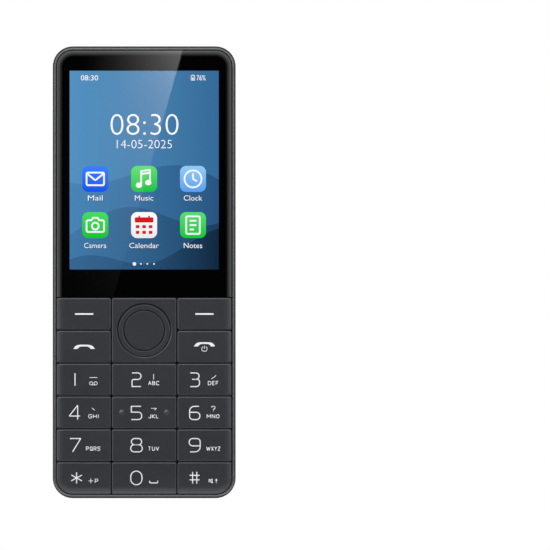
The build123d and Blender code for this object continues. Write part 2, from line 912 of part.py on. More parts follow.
def make_battery_tape():
    half_width = battery_width / 2 - battery_tape_inset
    bottom = battery_bottom + battery_tape_inset
    return box(-half_width, half_width, battery_back, cavity_back, bottom, battery_top - battery_tape_inset)


def make_battery_lead():
    start_depth = (battery_front + battery_back) / 2
    landing_depth = main_back + flex_thickness / 2
    points = [
        (battery_top, start_depth),
        (battery_top + battery_lead_lead, start_depth),
        (main_bottom - battery_lead_lead / 2, landing_depth),
        (main_bottom + flex_landing, landing_depth),
    ]
    return ribbon(points, battery_lead_x, battery_lead_width)


def board_landing():
    """Last stretch of a flexible circuit: past the battery, then flat on the main board's front."""
    depth = main_front - flex_thickness / 2
    rise = battery_top + main_board_bottom_gap / 2
    return [(rise, frame_back + flex_seat_gap), (rise, depth), (main_bottom + flex_landing, depth)]


def make_display_flex():
    start_z = display_bottom - panel_bottom_margin
    start_depth = (panel_front + panel_back) / 2
    fold_z = start_z - display_flex_lead
    points = [(start_z, start_depth), (fold_z, start_depth), (fold_z, frame_back + flex_seat_gap)]
    return ribbon(points + board_landing(), display_flex_x, display_flex_width)


def make_keypad_flex():
    start_depth = keypad_board_back + flex_thickness / 2
    ramp_end = bay_top - keypad_flex_ramp / 2
    points = [
        (bay_top - keypad_flex_lead, start_depth),
        (ramp_end - keypad_flex_ramp, start_depth),
        (ramp_end, frame_back + flex_seat_gap),
    ]
    return ribbon(points + board_landing(), keypad_flex_x, keypad_flex_width)


def make_usb_shell():
    end = usb_inset + usb_length
    shell = slot_z(usb_width, usb_height, port_depth, usb_inset, end)
    inner_width = usb_width - 2 * usb_sheet
    inner_height = usb_height - 2 * usb_sheet
    return shell - slot_z(inner_width, inner_height, port_depth, usb_inset - overrun, end + overrun)


def make_usb_tongue():
    """Contact tongue on the block that closes the port's inner end."""
    end = usb_inset + usb_length
    root_width = usb_width - 2 * (usb_sheet + slide_clearance)
    root_height = usb_height - 2 * (usb_sheet + slide_clearance)
    root = slot_z(root_width, root_height, port_depth, end - tongue_root, end)
    half_width = tongue_width / 2
    front = port_depth - tongue_thickness / 2
    back = port_depth + tongue_thickness / 2
    return root + box(-half_width, half_width, front, back, usb_inset + tongue_mouth_gap, end - tongue_root)


def speaker_span():
    """Left and right of the speaker's row of holes, with the mesh's margin."""
    holes = speaker_holes()
    margin = sound_hole_radius + mesh_margin
    return holes[0] - margin, holes[-1] + margin


def make_loudspeaker():
    """Speaker box on the keypad board, with a snout to the holes in the bottom wall."""
    left, right = speaker_span()
    bottom = bay_bottom + speaker_bottom_gap
    plan = RectangleRounded(speaker_right - speaker_left, speaker_height, speaker_radius)
    back = keypad_board_back + speaker_thickness
    middle = bottom + speaker_height / 2
    speaker = slab(Pos((left + right) / 2, middle) * plan, keypad_board_back, back)
    snout_front = frame_back + speaker_snout_gap
    snout_back = back - speaker_snout_gap
    return speaker + box(left, right, snout_front, snout_back, side_wall + mesh_thickness, middle)


def make_speaker_mesh():
    left, right = speaker_span()
    front = port_depth - sound_hole_radius - mesh_margin
    back = port_depth + sound_hole_radius + mesh_margin
    return box(left, right, front, back, side_wall, side_wall + mesh_thickness)


def earpiece_half_span():
    return earpiece_holes()[-1] + earpiece_hole_radius + mesh_margin


def make_earpiece():
    """Receiver on the back of the frame, with an outlet to the holes in the top wall."""
    back = frame_back + earpiece_thickness
    plan = RectangleRounded(earpiece_width, earpiece_height, earpiece_radius)
    receiver = slab(Pos(0, earpiece_top - earpiece_height / 2) * plan, frame_back, back)
    half_span = earpiece_half_span()
    outlet_front = earpiece_depth - earpiece_hole_radius - mesh_margin
    outlet_back = earpiece_depth + earpiece_hole_radius + mesh_margin
    outlet_top = body_height - side_wall - mesh_thickness
    outlet_bottom = earpiece_top - earpiece_height / 2
    return receiver + box(-half_span, half_span, outlet_front, outlet_back, outlet_bottom, outlet_top)


def make_earpiece_mesh():
    half_span = earpiece_half_span()
    front = earpiece_depth - earpiece_hole_radius - mesh_margin
    back = earpiece_depth + earpiece_hole_radius + mesh_margin
    top = body_height - side_wall
    return box(-half_span, half_span, front, back, top - mesh_thickness, top)


def microphone_span(margin):
    """Left, right, bottom and top of the microphone, grown by a margin."""
    half_width = microphone_width / 2 + margin
    bottom = bay_bottom + seat_clearance + microphone_boot_wall
    return (
        microphone_x - half_width,
        microphone_x + half_width,
        bottom - margin,
        bottom + microphone_height + margin,
    )


def make_microphone():
    x0, x1, z0, z1 = microphone_span(0)
    return box(x0, x1, keypad_board_back, keypad_board_back + microphone_thickness, z0, z1)


def make_microphone_boot():
    """Rubber boot that leads the sound from the hole in the wall to the microphone."""
    x0, x1, z0, z1 = microphone_span(microphone_boot_wall)
    boot_back = port_depth + sound_hole_radius + microphone_boot_wall
    boot = box(x0, x1, frame_back + slide_clearance, boot_back, side_wall, z1)
    x0, x1, z0, z1 = microphone_span(slide_clearance)
    microphone_back = keypad_board_back + microphone_thickness + slide_clearance
    boot -= box(x0, x1, keypad_board_back - overrun, microphone_back, z0, z1)
    middle = (z0 + z1) / 2
    boot -= bar_z(microphone_x, port_depth, side_wall - overrun, middle, sound_hole_radius)
    return boot - disc(microphone_x, middle, sound_hole_radius, keypad_board_back, port_depth)


def make_vibration_base():
    """Motor's base plate with its fixed shaft."""
    base_back = keypad_board_back + motor_sheet
    shaft_back = keypad_board_back + motor_thickness - motor_sheet
    base = disc(motor_x, motor_z, motor_radius, keypad_board_back, base_back)
    return base + disc(motor_x, motor_z, motor_shaft_radius, base_back, shaft_back)


def make_vibration_cap():
    front = keypad_board_back + motor_sheet
    back = keypad_board_back + motor_thickness
    cup = disc(motor_x, motor_z, motor_radius, front, back)
    return cup - disc(motor_x, motor_z, motor_radius - motor_sheet, front - overrun, back - motor_sheet)


def make_vibration_weight():
    """Half disc that turns off balance on the shaft, with a hub round the bore."""
    front = keypad_board_back + motor_sheet + weight_clearance
    back = keypad_board_back + motor_thickness - motor_sheet - weight_clearance
    radius = motor_radius - motor_sheet - weight_clearance
    weight = disc(motor_x, motor_z, radius, front, back)
    weight -= box(motor_x - radius, motor_x + radius, front, back, motor_z, motor_z + radius)
    weight += disc(motor_x, motor_z, weight_hub_radius, front, back)
    bore_radius = motor_shaft_radius + weight_bore_clearance
    return weight - disc(motor_x, motor_z, bore_radius, front - overrun, back + overrun)


def make_antenna_strip():
    """Metal strip on the inside of the back, slit along most of its length."""
    half_width = antenna_width / 2
    front = cavity_back - antenna_thickness
    top = body_height - side_wall - antenna_top_gap
    strip = box(-half_width, half_width, front, cavity_back, top - antenna_height, top)
    slit_z = top - antenna_height / 2
    slit_end = -half_width + antenna_slit_share * antenna_width
    return strip - box(
        -half_width - overrun,
        slit_end,
        front - overrun,
        cavity_back + overrun,
        slit_z - antenna_slit / 2,
        slit_z + antenna_slit / 2,
    )


nodes = {
    "rear_shell": make_rear_shell(),
    "front_frame": make_front_frame(),
    "cover_glass": make_cover_glass(),
    "screen_adhesive": make_screen_adhesive(),
    "lcd_panel": make_lcd_panel(),
    "backlight": make_backlight(),
    "display_flex": make_display_flex(),
    "nav_surround": make_nav_surround(),
    "nav_ring": make_nav_ring(),
    "nav_rocker": make_nav_rocker(),
    "ok_key": make_ok_key(),
    "keypad_mat": make_keypad_mat(),
    "snap_domes": make_snap_domes(),
    "keypad_board": make_keypad_board(),
    "keypad_screws": make_keypad_screws(),
    "keypad_flex": make_keypad_flex(),
    "main_board": make_main_board(),
    "board_screws": make_board_screws(),
    "shield_cans": make_shield_cans(),
    "board_chips": make_board_chips(),
    "sim_tray": make_sim_tray(),
    "sim_socket": make_sim_socket(),
    "sim_cover": make_sim_cover(),
    "eject_rod": make_eject_rod(),
    "eject_lever": make_eject_lever(),
    "eject_bar": make_eject_bar(),
    "battery": make_battery(),
    "battery_tape": make_battery_tape(),
    "battery_lead": make_battery_lead(),
    "usb_shell": make_usb_shell(),
    "usb_tongue": make_usb_tongue(),
    "loudspeaker": make_loudspeaker(),
    "speaker_mesh": make_speaker_mesh(),
    "earpiece": make_earpiece(),
    "earpiece_mesh": make_earpiece_mesh(),
    "microphone": make_microphone(),
    "microphone_boot": make_microphone_boot(),
    "vibration_base": make_vibration_base(),
    "vibration_cap": make_vibration_cap(),
    "vibration_weight": make_vibration_weight(),
    "antenna_strip": make_antenna_strip(),
}
for name, (column, row) in keys.items():
    nodes[name] = make_key(column, row)
nodes["key_5"] = add_nubs(nodes["key_5"], *keys["key_5"])

os.makedirs("parts", exist_ok=True)
for name, shape in nodes.items():
    export_step(shape, f"parts/{name}.step")
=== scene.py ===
import math

import bmesh
import bpy
from mathutils import Matrix, Vector


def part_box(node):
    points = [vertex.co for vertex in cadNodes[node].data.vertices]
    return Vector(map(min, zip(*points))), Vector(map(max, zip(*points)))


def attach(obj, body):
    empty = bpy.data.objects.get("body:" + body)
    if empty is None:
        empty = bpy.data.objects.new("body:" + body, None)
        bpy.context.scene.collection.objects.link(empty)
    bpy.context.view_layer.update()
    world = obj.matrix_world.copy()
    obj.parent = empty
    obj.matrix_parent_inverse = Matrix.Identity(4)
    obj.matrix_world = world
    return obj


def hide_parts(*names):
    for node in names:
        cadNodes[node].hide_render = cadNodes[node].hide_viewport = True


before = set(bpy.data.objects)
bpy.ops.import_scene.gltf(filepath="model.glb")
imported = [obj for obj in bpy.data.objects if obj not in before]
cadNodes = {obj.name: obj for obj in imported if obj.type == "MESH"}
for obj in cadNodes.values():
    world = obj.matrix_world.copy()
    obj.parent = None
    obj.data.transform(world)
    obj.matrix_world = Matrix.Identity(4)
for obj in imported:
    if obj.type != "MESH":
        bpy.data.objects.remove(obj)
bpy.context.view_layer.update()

mm = 0.001

# where the phone's front view stands in the photograph's 550 x 550 pixels
photo = {"pixels": 550, "pixelSize": 0.2864 * mm, "phoneMiddle": 144.2, "phoneBottom": 498.15}
litHalf = 21.35 * mm  # half the width of the lit area


def photoX(pixel):
    return (pixel - photo["phoneMiddle"]) * photo["pixelSize"]


def photoZ(pixel):
    return (photo["phoneBottom"] - pixel) * photo["pixelSize"]


def boxFromPhoto(left, top, right, bottom):
    return photoX(left), photoZ(bottom), photoX(right), photoZ(top)


def addObject(name, data):
    added = bpy.data.objects.new(name, data)
    bpy.context.scene.collection.objects.link(added)
    return added


# camera, square on to the front
cameraLook = {"distance": 0.6}
cameraData = bpy.data.cameras.new("photoCamera")
cameraData.type = "ORTHO"
cameraData.ortho_scale = photo["pixels"] * photo["pixelSize"]
camera = addObject("photoCamera", cameraData)
camera.location = (photoX(photo["pixels"] / 2), -cameraLook["distance"], photoZ(photo["pixels"] / 2))
camera.rotation_euler = (math.pi / 2, 0, 0)
bpy.context.scene.camera = camera
bpy.context.scene.view_settings.view_transform = "Standard"
print("camera ready")


# node helpers for the materials; colours are written as they look, 0 to 255
def linear(colour):
    steps = []
    for part in colour:
        part = part / 255
        steps.append(part / 12.92 if part <= 0.04045 else ((part + 0.055) / 1.055) ** 2.4)
    return (*steps, 1.0)


def newMaterial(name):
    material = bpy.data.materials.new(name)
    material.use_nodes = True
    tree = material.node_tree
    return material, tree, tree.nodes["Principled BSDF"]


# an input is named, or counted: i0 is the first socket
def addNode(tree, kind, settings=None, **inputs):
    node = tree.nodes.new(kind)
    for name, value in (settings or {}).items():
        setattr(node, name, value)
    for name, value in inputs.items():
        counted = name[0] == "i" and name[1:].isdigit()
        socket = node.inputs[int(name[1:]) if counted else name]
        if isinstance(value, bpy.types.NodeSocket):
            tree.links.new(value, socket)
        else:
            socket.default_value = value
    return node


def objectPlace(tree):
    return tree.nodes.new("ShaderNodeTexCoord").outputs["Object"]


def noise(tree, place, size, detail=2.0):
    return addNode(tree, "ShaderNodeTexNoise", Vector=place, Scale=1 / size, Detail=detail).outputs["Fac"]


def ramp(tree, factor, stops):
    node = tree.nodes.new("ShaderNodeValToRGB")
    elements = node.color_ramp.elements
    while len(elements) < len(stops):
        elements.new(0.5)
    for element, (position, colour) in zip(elements, stops):
        element.position = position
        element.color = colour
    tree.links.new(factor, node.inputs["Fac"])
    return node.outputs["Color"]


def mapRange(tree, value, low, high, outLow, outHigh, smooth=False):
    settings = {"interpolation_type": "SMOOTHSTEP" if smooth else "LINEAR"}
    node = addNode(tree, "ShaderNodeMapRange", settings, i0=value, i1=low, i2=high, i3=outLow, i4=outHigh)
    return node.outputs[0]


def maths(tree, operation, first, second=0.0):
    return addNode(tree, "ShaderNodeMath", {"operation": operation}, i0=first, i1=second).outputs[0]


def mixColour(tree, share, first, second):
    node = addNode(tree, "ShaderNodeMix", {"data_type": "RGBA"}, i0=share, i6=first, i7=second)
    return node.outputs[2]


def dotProduct(tree, first, second):
    node = addNode(tree, "ShaderNodeVectorMath", {"operation": "DOT_PRODUCT"}, i0=first, i1=second)
    return node.outputs["Value"]


def separate(tree, place):
    return addNode(tree, "ShaderNodeSeparateXYZ", Vector=place).outputs


def grey(level):
    return (level, level, level, 1)


def shade(colour, share):
    return tuple(min(255, part * share) for part in colour)


# one recipe serves every moulded, rolled or coated finish: colour drift, grain bump and uneven sheen
grainLook = {"detail": 3.0, "low": 0.3, "high": 0.7, "edgeSamples": 8, "specular": 0.5, "ior": 1.5}


def grainedFinish(name, look):
    material, tree, shader = newMaterial(name)
    place = objectPlace(tree)
    if "stretch" in look:
        mapping = addNode(tree, "ShaderNodeMapping", Vector=place, Scale=look["stretch"])
        place = mapping.outputs["Vector"]
    drift = noise(tree, place, look["driftSize"])
    grain = noise(tree, place, look["grainSize"], grainLook["detail"])
    low, high = grainLook["low"], grainLook["high"]
    dark, light = [linear(shade(look["colour"], 1 + side * look["driftShare"])) for side in (-1, 1)]
    paint = ramp(tree, drift, [(low, dark), (high, light)])
    smooth, rough = look["roughness"] - look["sheenDrift"], look["roughness"] + look["sheenDrift"]
    tree.links.new(mapRange(tree, grain, low, high, smooth, rough), shader.inputs["Roughness"])
    bump = addNode(tree, "ShaderNodeBump", Height=grain, Strength=look["bump"], Distance=look["bumpDepth"])
    if "softEdge" in look:  # edges shaded a little rounder, and a painted highlight: paler where the edge faces up and to the left
        settings = {"samples": grainLook["edgeSamples"]}
        rounded = addNode(tree, "ShaderNodeBevel", settings, Radius=look["softEdge"]).outputs["Normal"]
        tree.links.new(rounded, bump.inputs["Normal"])
        band = [(stop, grey(share)) for stop, share in zip(look["paintedHighlightBand"], (0, 1, 1, 0))]
        paintedHighlight = ramp(tree, dotProduct(tree, rounded, look["paintedHighlightSide"]), band)
        paint = mixColour(tree, paintedHighlight, paint, linear(look["paintedHighlightColour"]))
    tree.links.new(paint, shader.inputs["Base Color"])
    tree.links.new(bump.outputs["Normal"], shader.inputs["Normal"])
    shader.inputs["Metallic"].default_value = look.get("metal", 0.0)
    shader.inputs["Specular IOR Level"].default_value = look.get("specular", grainLook["specular"])
    shader.inputs["IOR"].default_value = look.get("ior", grainLook["ior"])
    return material


finishes = {
    "casingPlastic": {"colour": (46, 48, 52), "driftSize": 9 * mm, "driftShare": 0.025,
                      "grainSize": 0.22 * mm, "roughness": 0.24, "sheenDrift": 0.04,
                      "bump": 0.12, "bumpDepth": 0.02 * mm, "specular": 1.0, "ior": 1.6},
    "keyPlastic": {"colour": (51, 53, 57), "driftSize": 7 * mm, "driftShare": 0.02,
                   "grainSize": 0.16 * mm, "roughness": 0.22, "sheenDrift": 0.04,
                   "bump": 0.12, "bumpDepth": 0.015 * mm, "specular": 0.65, "softEdge": 0.4 * mm,
                   # painted highlight on the key edges that face up and to the left
                   "paintedHighlightColour": (98, 100, 104), "paintedHighlightSide": (-0.6, 0.0, 0.8),
                   "paintedHighlightBand": (0.18, 0.44, 0.56, 0.78)},
    "ringPlastic": {"colour": (50, 52, 56), "driftSize": 7 * mm, "driftShare": 0.02,
                    "grainSize": 0.16 * mm, "roughness": 0.24, "sheenDrift": 0.04,
                    "bump": 0.12, "bumpDepth": 0.015 * mm, "specular": 0.6},
    "blackPlastic": {"colour": (16, 16, 18), "driftSize": 5 * mm, "driftShare": 0.08,
                     "grainSize": 0.2 * mm, "roughness": 0.55, "sheenDrift": 0.08,
                     "bump": 0.3, "bumpDepth": 0.02 * mm, "specular": 0.4},
    "lightGuide": {"colour": (214, 218, 220), "driftSize": 12 * mm, "driftShare": 0.02, "grainSize": 0.5 * mm,
                   "roughness": 0.3, "sheenDrift": 0.05, "bump": 0.2, "bumpDepth": 0.01 * mm},
    "solderMask": {"colour": (16, 62, 44), "driftSize": 3 * mm, "driftShare": 0.18, "grainSize": 0.4 * mm,
                   "roughness": 0.38, "sheenDrift": 0.08, "bump": 0.3, "bumpDepth": 0.02 * mm},
    "chipPlastic": {"colour": (30, 30, 33), "driftSize": 2 * mm, "driftShare": 0.08, "grainSize": 0.12 * mm,
                    "roughness": 0.62, "sheenDrift": 0.08, "bump": 0.3, "bumpDepth": 0.01 * mm},
    "rolledSteel": {"colour": (186, 188, 190), "driftSize": 4 * mm, "driftShare": 0.04,
                    "grainSize": 0.25 * mm, "roughness": 0.32, "sheenDrift": 0.1,
                    "bump": 0.2, "bumpDepth": 0.01 * mm, "metal": 1.0, "stretch": (0.08, 1.0, 1.0)},
    "flexFilm": {"colour": (158, 92, 26), "driftSize": 3 * mm, "driftShare": 0.1, "grainSize": 0.5 * mm,
                 "roughness": 0.35, "sheenDrift": 0.06, "bump": 0.2, "bumpDepth": 0.01 * mm},
    "greySilicone": {"colour": (120, 122, 124), "driftSize": 4 * mm, "driftShare": 0.04,
                     "grainSize": 0.3 * mm, "roughness": 0.6, "sheenDrift": 0.06,
                     "bump": 0.2, "bumpDepth": 0.01 * mm},
    "batteryFoil": {"colour": (150, 152, 156), "driftSize": 8 * mm, "driftShare": 0.04, "grainSize": 0.6 * mm,
                    "roughness": 0.36, "sheenDrift": 0.08, "bump": 0.4, "bumpDepth": 0.03 * mm, "metal": 0.6},
    "blackTape": {"colour": (24, 24, 26), "driftSize": 3 * mm, "driftShare": 0.1, "grainSize": 0.4 * mm,
                  "roughness": 0.7, "sheenDrift": 0.08, "bump": 0.4, "bumpDepth": 0.02 * mm},
    "tungstenWeight": {"colour": (112, 110, 108), "driftSize": 2 * mm, "driftShare": 0.08,
                       "grainSize": 0.1 * mm, "roughness": 0.45, "sheenDrift": 0.1,
                       "bump": 0.4, "bumpDepth": 0.01 * mm, "metal": 1.0},
    "copperStrip": {"colour": (188, 112, 74), "driftSize": 3 * mm, "driftShare": 0.08, "grainSize": 0.2 * mm,
                    "roughness": 0.35, "sheenDrift": 0.08, "bump": 0.3, "bumpDepth": 0.01 * mm, "metal": 1.0},
    "legendInk": {"colour": (240, 241, 243), "driftSize": 1.5 * mm, "driftShare": 0.03,
                  "grainSize": 0.08 * mm, "roughness": 0.55, "sheenDrift": 0.08,
                  "bump": 0.3, "bumpDepth": 0.005 * mm},
    "borderInk": {"colour": (3, 3, 4), "driftSize": 4 * mm, "driftShare": 0.2,
                  "grainSize": 0.1 * mm, "roughness": 0.6, "sheenDrift": 0.08,
                  "bump": 0.2, "bumpDepth": 0.003 * mm, "specular": 0.0},
}
made = {name: grainedFinish(name, look) for name, look in finishes.items()}


# toughened glass with a breath of smudge in its gloss: clear over the window, printed black round it
lensLook = {"ior": 1.5, "smudgeSize": 6 * mm, "smudgeDetail": 4.0, "smudgeSpan": (0.4, 0.75),
            "gloss": (0.004, 0.02), "print": (3, 3, 4)}


def lensGlass(name, clear):
    material, tree, shader = newMaterial(name)
    smudge = noise(tree, objectPlace(tree), lensLook["smudgeSize"], lensLook["smudgeDetail"])
    gloss = mapRange(tree, smudge, *lensLook["smudgeSpan"], *lensLook["gloss"])
    tree.links.new(gloss, shader.inputs["Roughness"])
    shader.inputs["Base Color"].default_value = (1, 1, 1, 1) if clear else linear(lensLook["print"])
    shader.inputs["Transmission Weight"].default_value = 1.0 if clear else 0.0
    shader.inputs["IOR"].default_value = lensLook["ior"]
    return material


made["lensGlass"] = lensGlass("lensGlass", True)
made["printedGlass"] = lensGlass("printedGlass", False)

# wallpaper on the lit panel: a blue fall of light from the left and three soft rolling bands below
wallpaper = {
    "left": (84, 146, 194),
    "right": (54, 108, 154),
    "bands": [
        {"height": 92 * mm, "swell": 5 * mm, "wave": 62 * mm, "start": 0.4, "lean": -0.16,
         "left": (72, 134, 184), "right": (40, 86, 130)},
        {"height": 80 * mm, "swell": 4 * mm, "wave": 48 * mm, "start": 2.3, "lean": 0.12,
         "left": (64, 122, 170), "right": (28, 62, 98)},
        {"height": 70 * mm, "swell": 3 * mm, "wave": 40 * mm, "start": 4.4, "lean": 0.2,
         "left": (54, 104, 150), "right": (18, 40, 64)},
    ],
    "edge": 0.12 * mm,
    "strength": 1.06,
}


def litSurface(tree, shader, colour):
    shader.inputs["Base Color"].default_value = (0, 0, 0, 1)
    shader.inputs["Specular IOR Level"].default_value = 0.0
    tree.links.new(colour, shader.inputs["Emission Color"])
    shader.inputs["Emission Strength"].default_value = wallpaper["strength"]


def litPanel():
    material, tree, shader = newMaterial("litPanel")
    place = separate(tree, objectPlace(tree))
    across = mapRange(tree, place["X"], -litHalf, litHalf, 0.0, 1.0)
    colour = ramp(tree, across, [(0.0, linear(wallpaper["left"])), (1.0, linear(wallpaper["right"]))])
    for band in wallpaper["bands"]:
        turn = maths(tree, "MULTIPLY", place["X"], 2 * math.pi / band["wave"])
        swell = maths(tree, "SINE", maths(tree, "ADD", turn, band["start"]))
        crest = maths(tree, "MULTIPLY", swell, band["swell"])
        crest = maths(tree, "ADD", crest, maths(tree, "MULTIPLY", place["X"], band["lean"]))
        below = maths(tree, "SUBTRACT", maths(tree, "ADD", crest, band["height"]), place["Z"])
        inside = mapRange(tree, below, 0.0, wallpaper["edge"], 0.0, 1.0, smooth=True)
        tone = ramp(tree, across, [(0.0, linear(band["left"])), (1.0, linear(band["right"]))])
        colour = mixColour(tree, inside, colour, tone)
    litSurface(tree, shader, colour)
    return material


made["litPanel"] = litPanel()


# lit signs on the screen fade a little from top to bottom
def litSign(name, top, bottom, topZ, bottomZ):
    material, tree, shader = newMaterial(name)
    height = separate(tree, objectPlace(tree))["Z"]
    fall = mapRange(tree, height, bottomZ, topZ, 0.0, 1.0)
    colour = ramp(tree, fall, [(0.0, linear(bottom)), (1.0, linear(top))])
    litSurface(tree, shader, colour)
    return material


print("materials ready")

# which finish each CAD node takes
nodeFinish = {
    "casingPlastic": ["rear_shell", "sim_tray"],
    "ringPlastic": ["nav_ring", "ok_key"],
    "keyPlastic": ["nav_surround", "left_soft_key", "right_soft_key", "call_key", "end_key",
                   "key_star", "key_hash", *[f"key_{digit}" for digit in range(10)]],
    "lensGlass": ["cover_glass"],
    "litPanel": ["lcd_panel"],
    "blackPlastic": ["front_frame", "nav_rocker", "sim_socket", "eject_rod", "eject_bar", "usb_tongue",
                     "loudspeaker", "earpiece"],
    "lightGuide": ["backlight"],
    "solderMask": ["keypad_board", "main_board"],
    "chipPlastic": ["board_chips"],
    "rolledSteel": ["snap_domes", "keypad_screws", "board_screws", "shield_cans", "sim_cover", "eject_lever",
                    "usb_shell", "speaker_mesh", "earpiece_mesh", "microphone",
                    "vibration_base", "vibration_cap"],
    "flexFilm": ["display_flex", "keypad_flex", "battery_lead"],
    "greySilicone": ["keypad_mat", "microphone_boot"],
    "batteryFoil": ["battery"],
    "blackTape": ["battery_tape", "screen_adhesive"],
    "tungstenWeight": ["vibration_weight"],
    "copperStrip": ["antenna_strip"],
}
for finish, names in nodeFinish.items():
    for name in names:
        for slot in cadNodes[name].material_slots:
            slot.material = made[finish]
bare = set(cadNodes) - {name for names in nodeFinish.values() for name in names}
print("nodes finished, left bare:", sorted(bare))


# flat pieces are drawn in X and Y, raised along Z, and then stood up to face the front
def standUp(mesh, depth):
    mesh.transform(Matrix.Translation((0, depth, 0)) @ Matrix.Rotation(math.pi / 2, 4, "X"))


def newPiece(name, mesh, material, body):
    mesh.materials.clear()
    mesh.materials.append(material)
    piece = addObject(name, mesh)
    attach(piece, body)
    return piece


def meshFromCurve(curve):
    holder = addObject("drawing", curve)
    bpy.context.view_layer.update()
    mesh = bpy.data.meshes.new_from_object(holder.evaluated_get(bpy.context.evaluated_depsgraph_get()))
    bpy.data.objects.remove(holder)
    bpy.data.curves.remove(curve)
    return mesh


# extruding leaves faces in an order that changes from run to run, so they are put in order of place
def meshFromSolid(name, solid):
    ordered = sorted(solid.faces, key=lambda face: face.calc_center_median()[:])
    for index, face in enumerate(ordered):
        face.index = index
    solid.faces.sort()
    mesh = bpy.data.meshes.new(name)
    solid.to_mesh(mesh)
    solid.free()
    return mesh


mergeDistance = 1e-7  # points closer than this become one


def mergePoints(solid):
    bmesh.ops.remove_doubles(solid, verts=solid.verts, dist=mergeDistance)


# a flat sheet raised to a closed plate
def raiseSheet(solid, thickness):
    raised = bmesh.ops.extrude_face_region(solid, geom=solid.faces[:])
    lifted = [item for item in raised["geom"] if isinstance(item, bmesh.types.BMVert)]
    bmesh.ops.translate(solid, vec=(0, 0, thickness), verts=lifted)
    bmesh.ops.recalc_face_normals(solid, faces=solid.faces)


def roundCorners(solid, corners, radius, steps):
    bmesh.ops.bevel(solid, geom=corners, offset=radius, affect="VERTICES", segments=steps, profile=0.5,
                    material=-1)


def boxCorners(left, bottom, right, top):
    return [(left, bottom), (right, bottom), (right, top), (left, top)]


# a flat sheet with its two upper corners rounded
def flatSheet(corners, radius, steps):
    solid = bmesh.new()
    outline = [solid.verts.new((x, y, 0)) for x, y in corners]
    solid.faces.new(outline)
    roundCorners(solid, outline[2:], radius, steps)
    return solid


def cutPlane(solid, place, direction, clearBehind=False):
    everything = [*solid.verts, *solid.edges, *solid.faces]
    bmesh.ops.bisect_plane(solid, geom=everything, plane_co=place, plane_no=direction,
                           clear_inner=clearBehind)


arcHandle = 0.5523  # handle length that makes a Bezier quarter turn round
drawSteps = {"curve": 8, "words": 4, "penRound": 2}  # how finely drawn lines are divided


def addPath(curve, points, closed):
    # each point is a corner: x, y and the radius that rounds it
    knots = []
    count = len(points)
    for index, (x, y, radius) in enumerate(points):
        corner = Vector((x, y, 0))
        before = Vector((*points[index - 1][:2], 0)) - corner
        after = Vector((*points[(index + 1) % count][:2], 0)) - corner
        inner = closed or 0 < index < count - 1
        if not inner or radius == 0:
            knots.append((corner, corner, corner))
            continue
        reach = min(radius, before.length / 2, after.length / 2)
        for side, first in ((before, True), (after, False)):
            knot = corner + side.normalized() * reach
            handle = corner + side.normalized() * reach * (1 - arcHandle)
            knots.append((knot, knot, handle) if first else (knot, handle, knot))
    spline = curve.splines.new("BEZIER")
    spline.bezier_points.add(len(knots) - 1)
    for point, (knot, left, right) in zip(spline.bezier_points, knots):
        point.handle_left_type = point.handle_right_type = "FREE"
        point.co, point.handle_left, point.handle_right = knot, left, right
    spline.use_cyclic_u = closed


def fitPoints(points, box, inset=0.0):
    left, bottom, right, top = box
    wide, tall = right - left - 2 * inset, top - bottom - 2 * inset
    return [(left + inset + x * wide, bottom + inset + y * tall, radius) for x, y, radius in points]


# a pen stroke: a round line pressed flat, like raised ink
def strokeMesh(paths, box, width, thickness):
    curve = bpy.data.curves.new("stroke", "CURVE")
    curve.dimensions = "3D"
    curve.bevel_depth = width / 2
    curve.bevel_resolution = drawSteps["penRound"]
    curve.resolution_u = drawSteps["curve"]
    curve.use_fill_caps = True
    for points, closed in paths:
        addPath(curve, fitPoints(points, box, width / 2), closed)
    mesh = meshFromCurve(curve)
    mesh.transform(Matrix.Scale(thickness / width, 4, (0, 0, 1)))
    return mesh


# a filled flat shape from closed paths, where a path inside another cuts a hole
def filledMesh(paths, box, thickness):
    curve = bpy.data.curves.new("fill", "CURVE")
    curve.dimensions = "2D"
    curve.fill_mode = "BOTH"
    curve.resolution_u = drawSteps["curve"]
    curve.extrude = thickness / 2
    for points in paths:
        addPath(curve, fitPoints(points, box), True)
    return meshFromCurve(curve)


# words from the built-in sans, stretched to the box that they fill
def wordMesh(words, box, thickness, weight=0.0):
    curve = bpy.data.curves.new("words", "FONT")
    curve.body = words
    curve.offset = weight
    curve.resolution_u = drawSteps["words"]
    mesh = meshFromCurve(curve)
    xs = [point.co.x for point in mesh.vertices]
    ys = [point.co.y for point in mesh.vertices]
    left, bottom, right, top = box
    wide, tall = (right - left) / (max(xs) - min(xs)), (top - bottom) / (max(ys) - min(ys))
    mesh.transform(Matrix.Diagonal((wide, tall, 1, 1)) @ Matrix.Translation((-min(xs), -min(ys), 0)))
    mesh.transform(Matrix.Translation((left, bottom, 0)))
    solid = bmesh.new()
    solid.from_mesh(mesh)
    bpy.data.meshes.remove(mesh)
    mergePoints(solid)
    raiseSheet(solid, thickness)
    bmesh.ops.translate(solid, vec=(0, 0, -thickness / 2), verts=solid.verts)
    return meshFromSolid("words", solid)


def joinMeshes(meshes):
    solid = bmesh.new()
    for mesh in meshes:
        solid.from_mesh(mesh)
        bpy.data.meshes.remove(mesh)
    mergePoints(solid)
    return meshFromSolid("joined", solid)


# a box with rounded corners, or a ring where the radius is large
def roundedBox(radius, left=0, bottom=0, right=1, top=1):
    return [(x, y, radius) for x, y in boxCorners(left, bottom, right, top)]


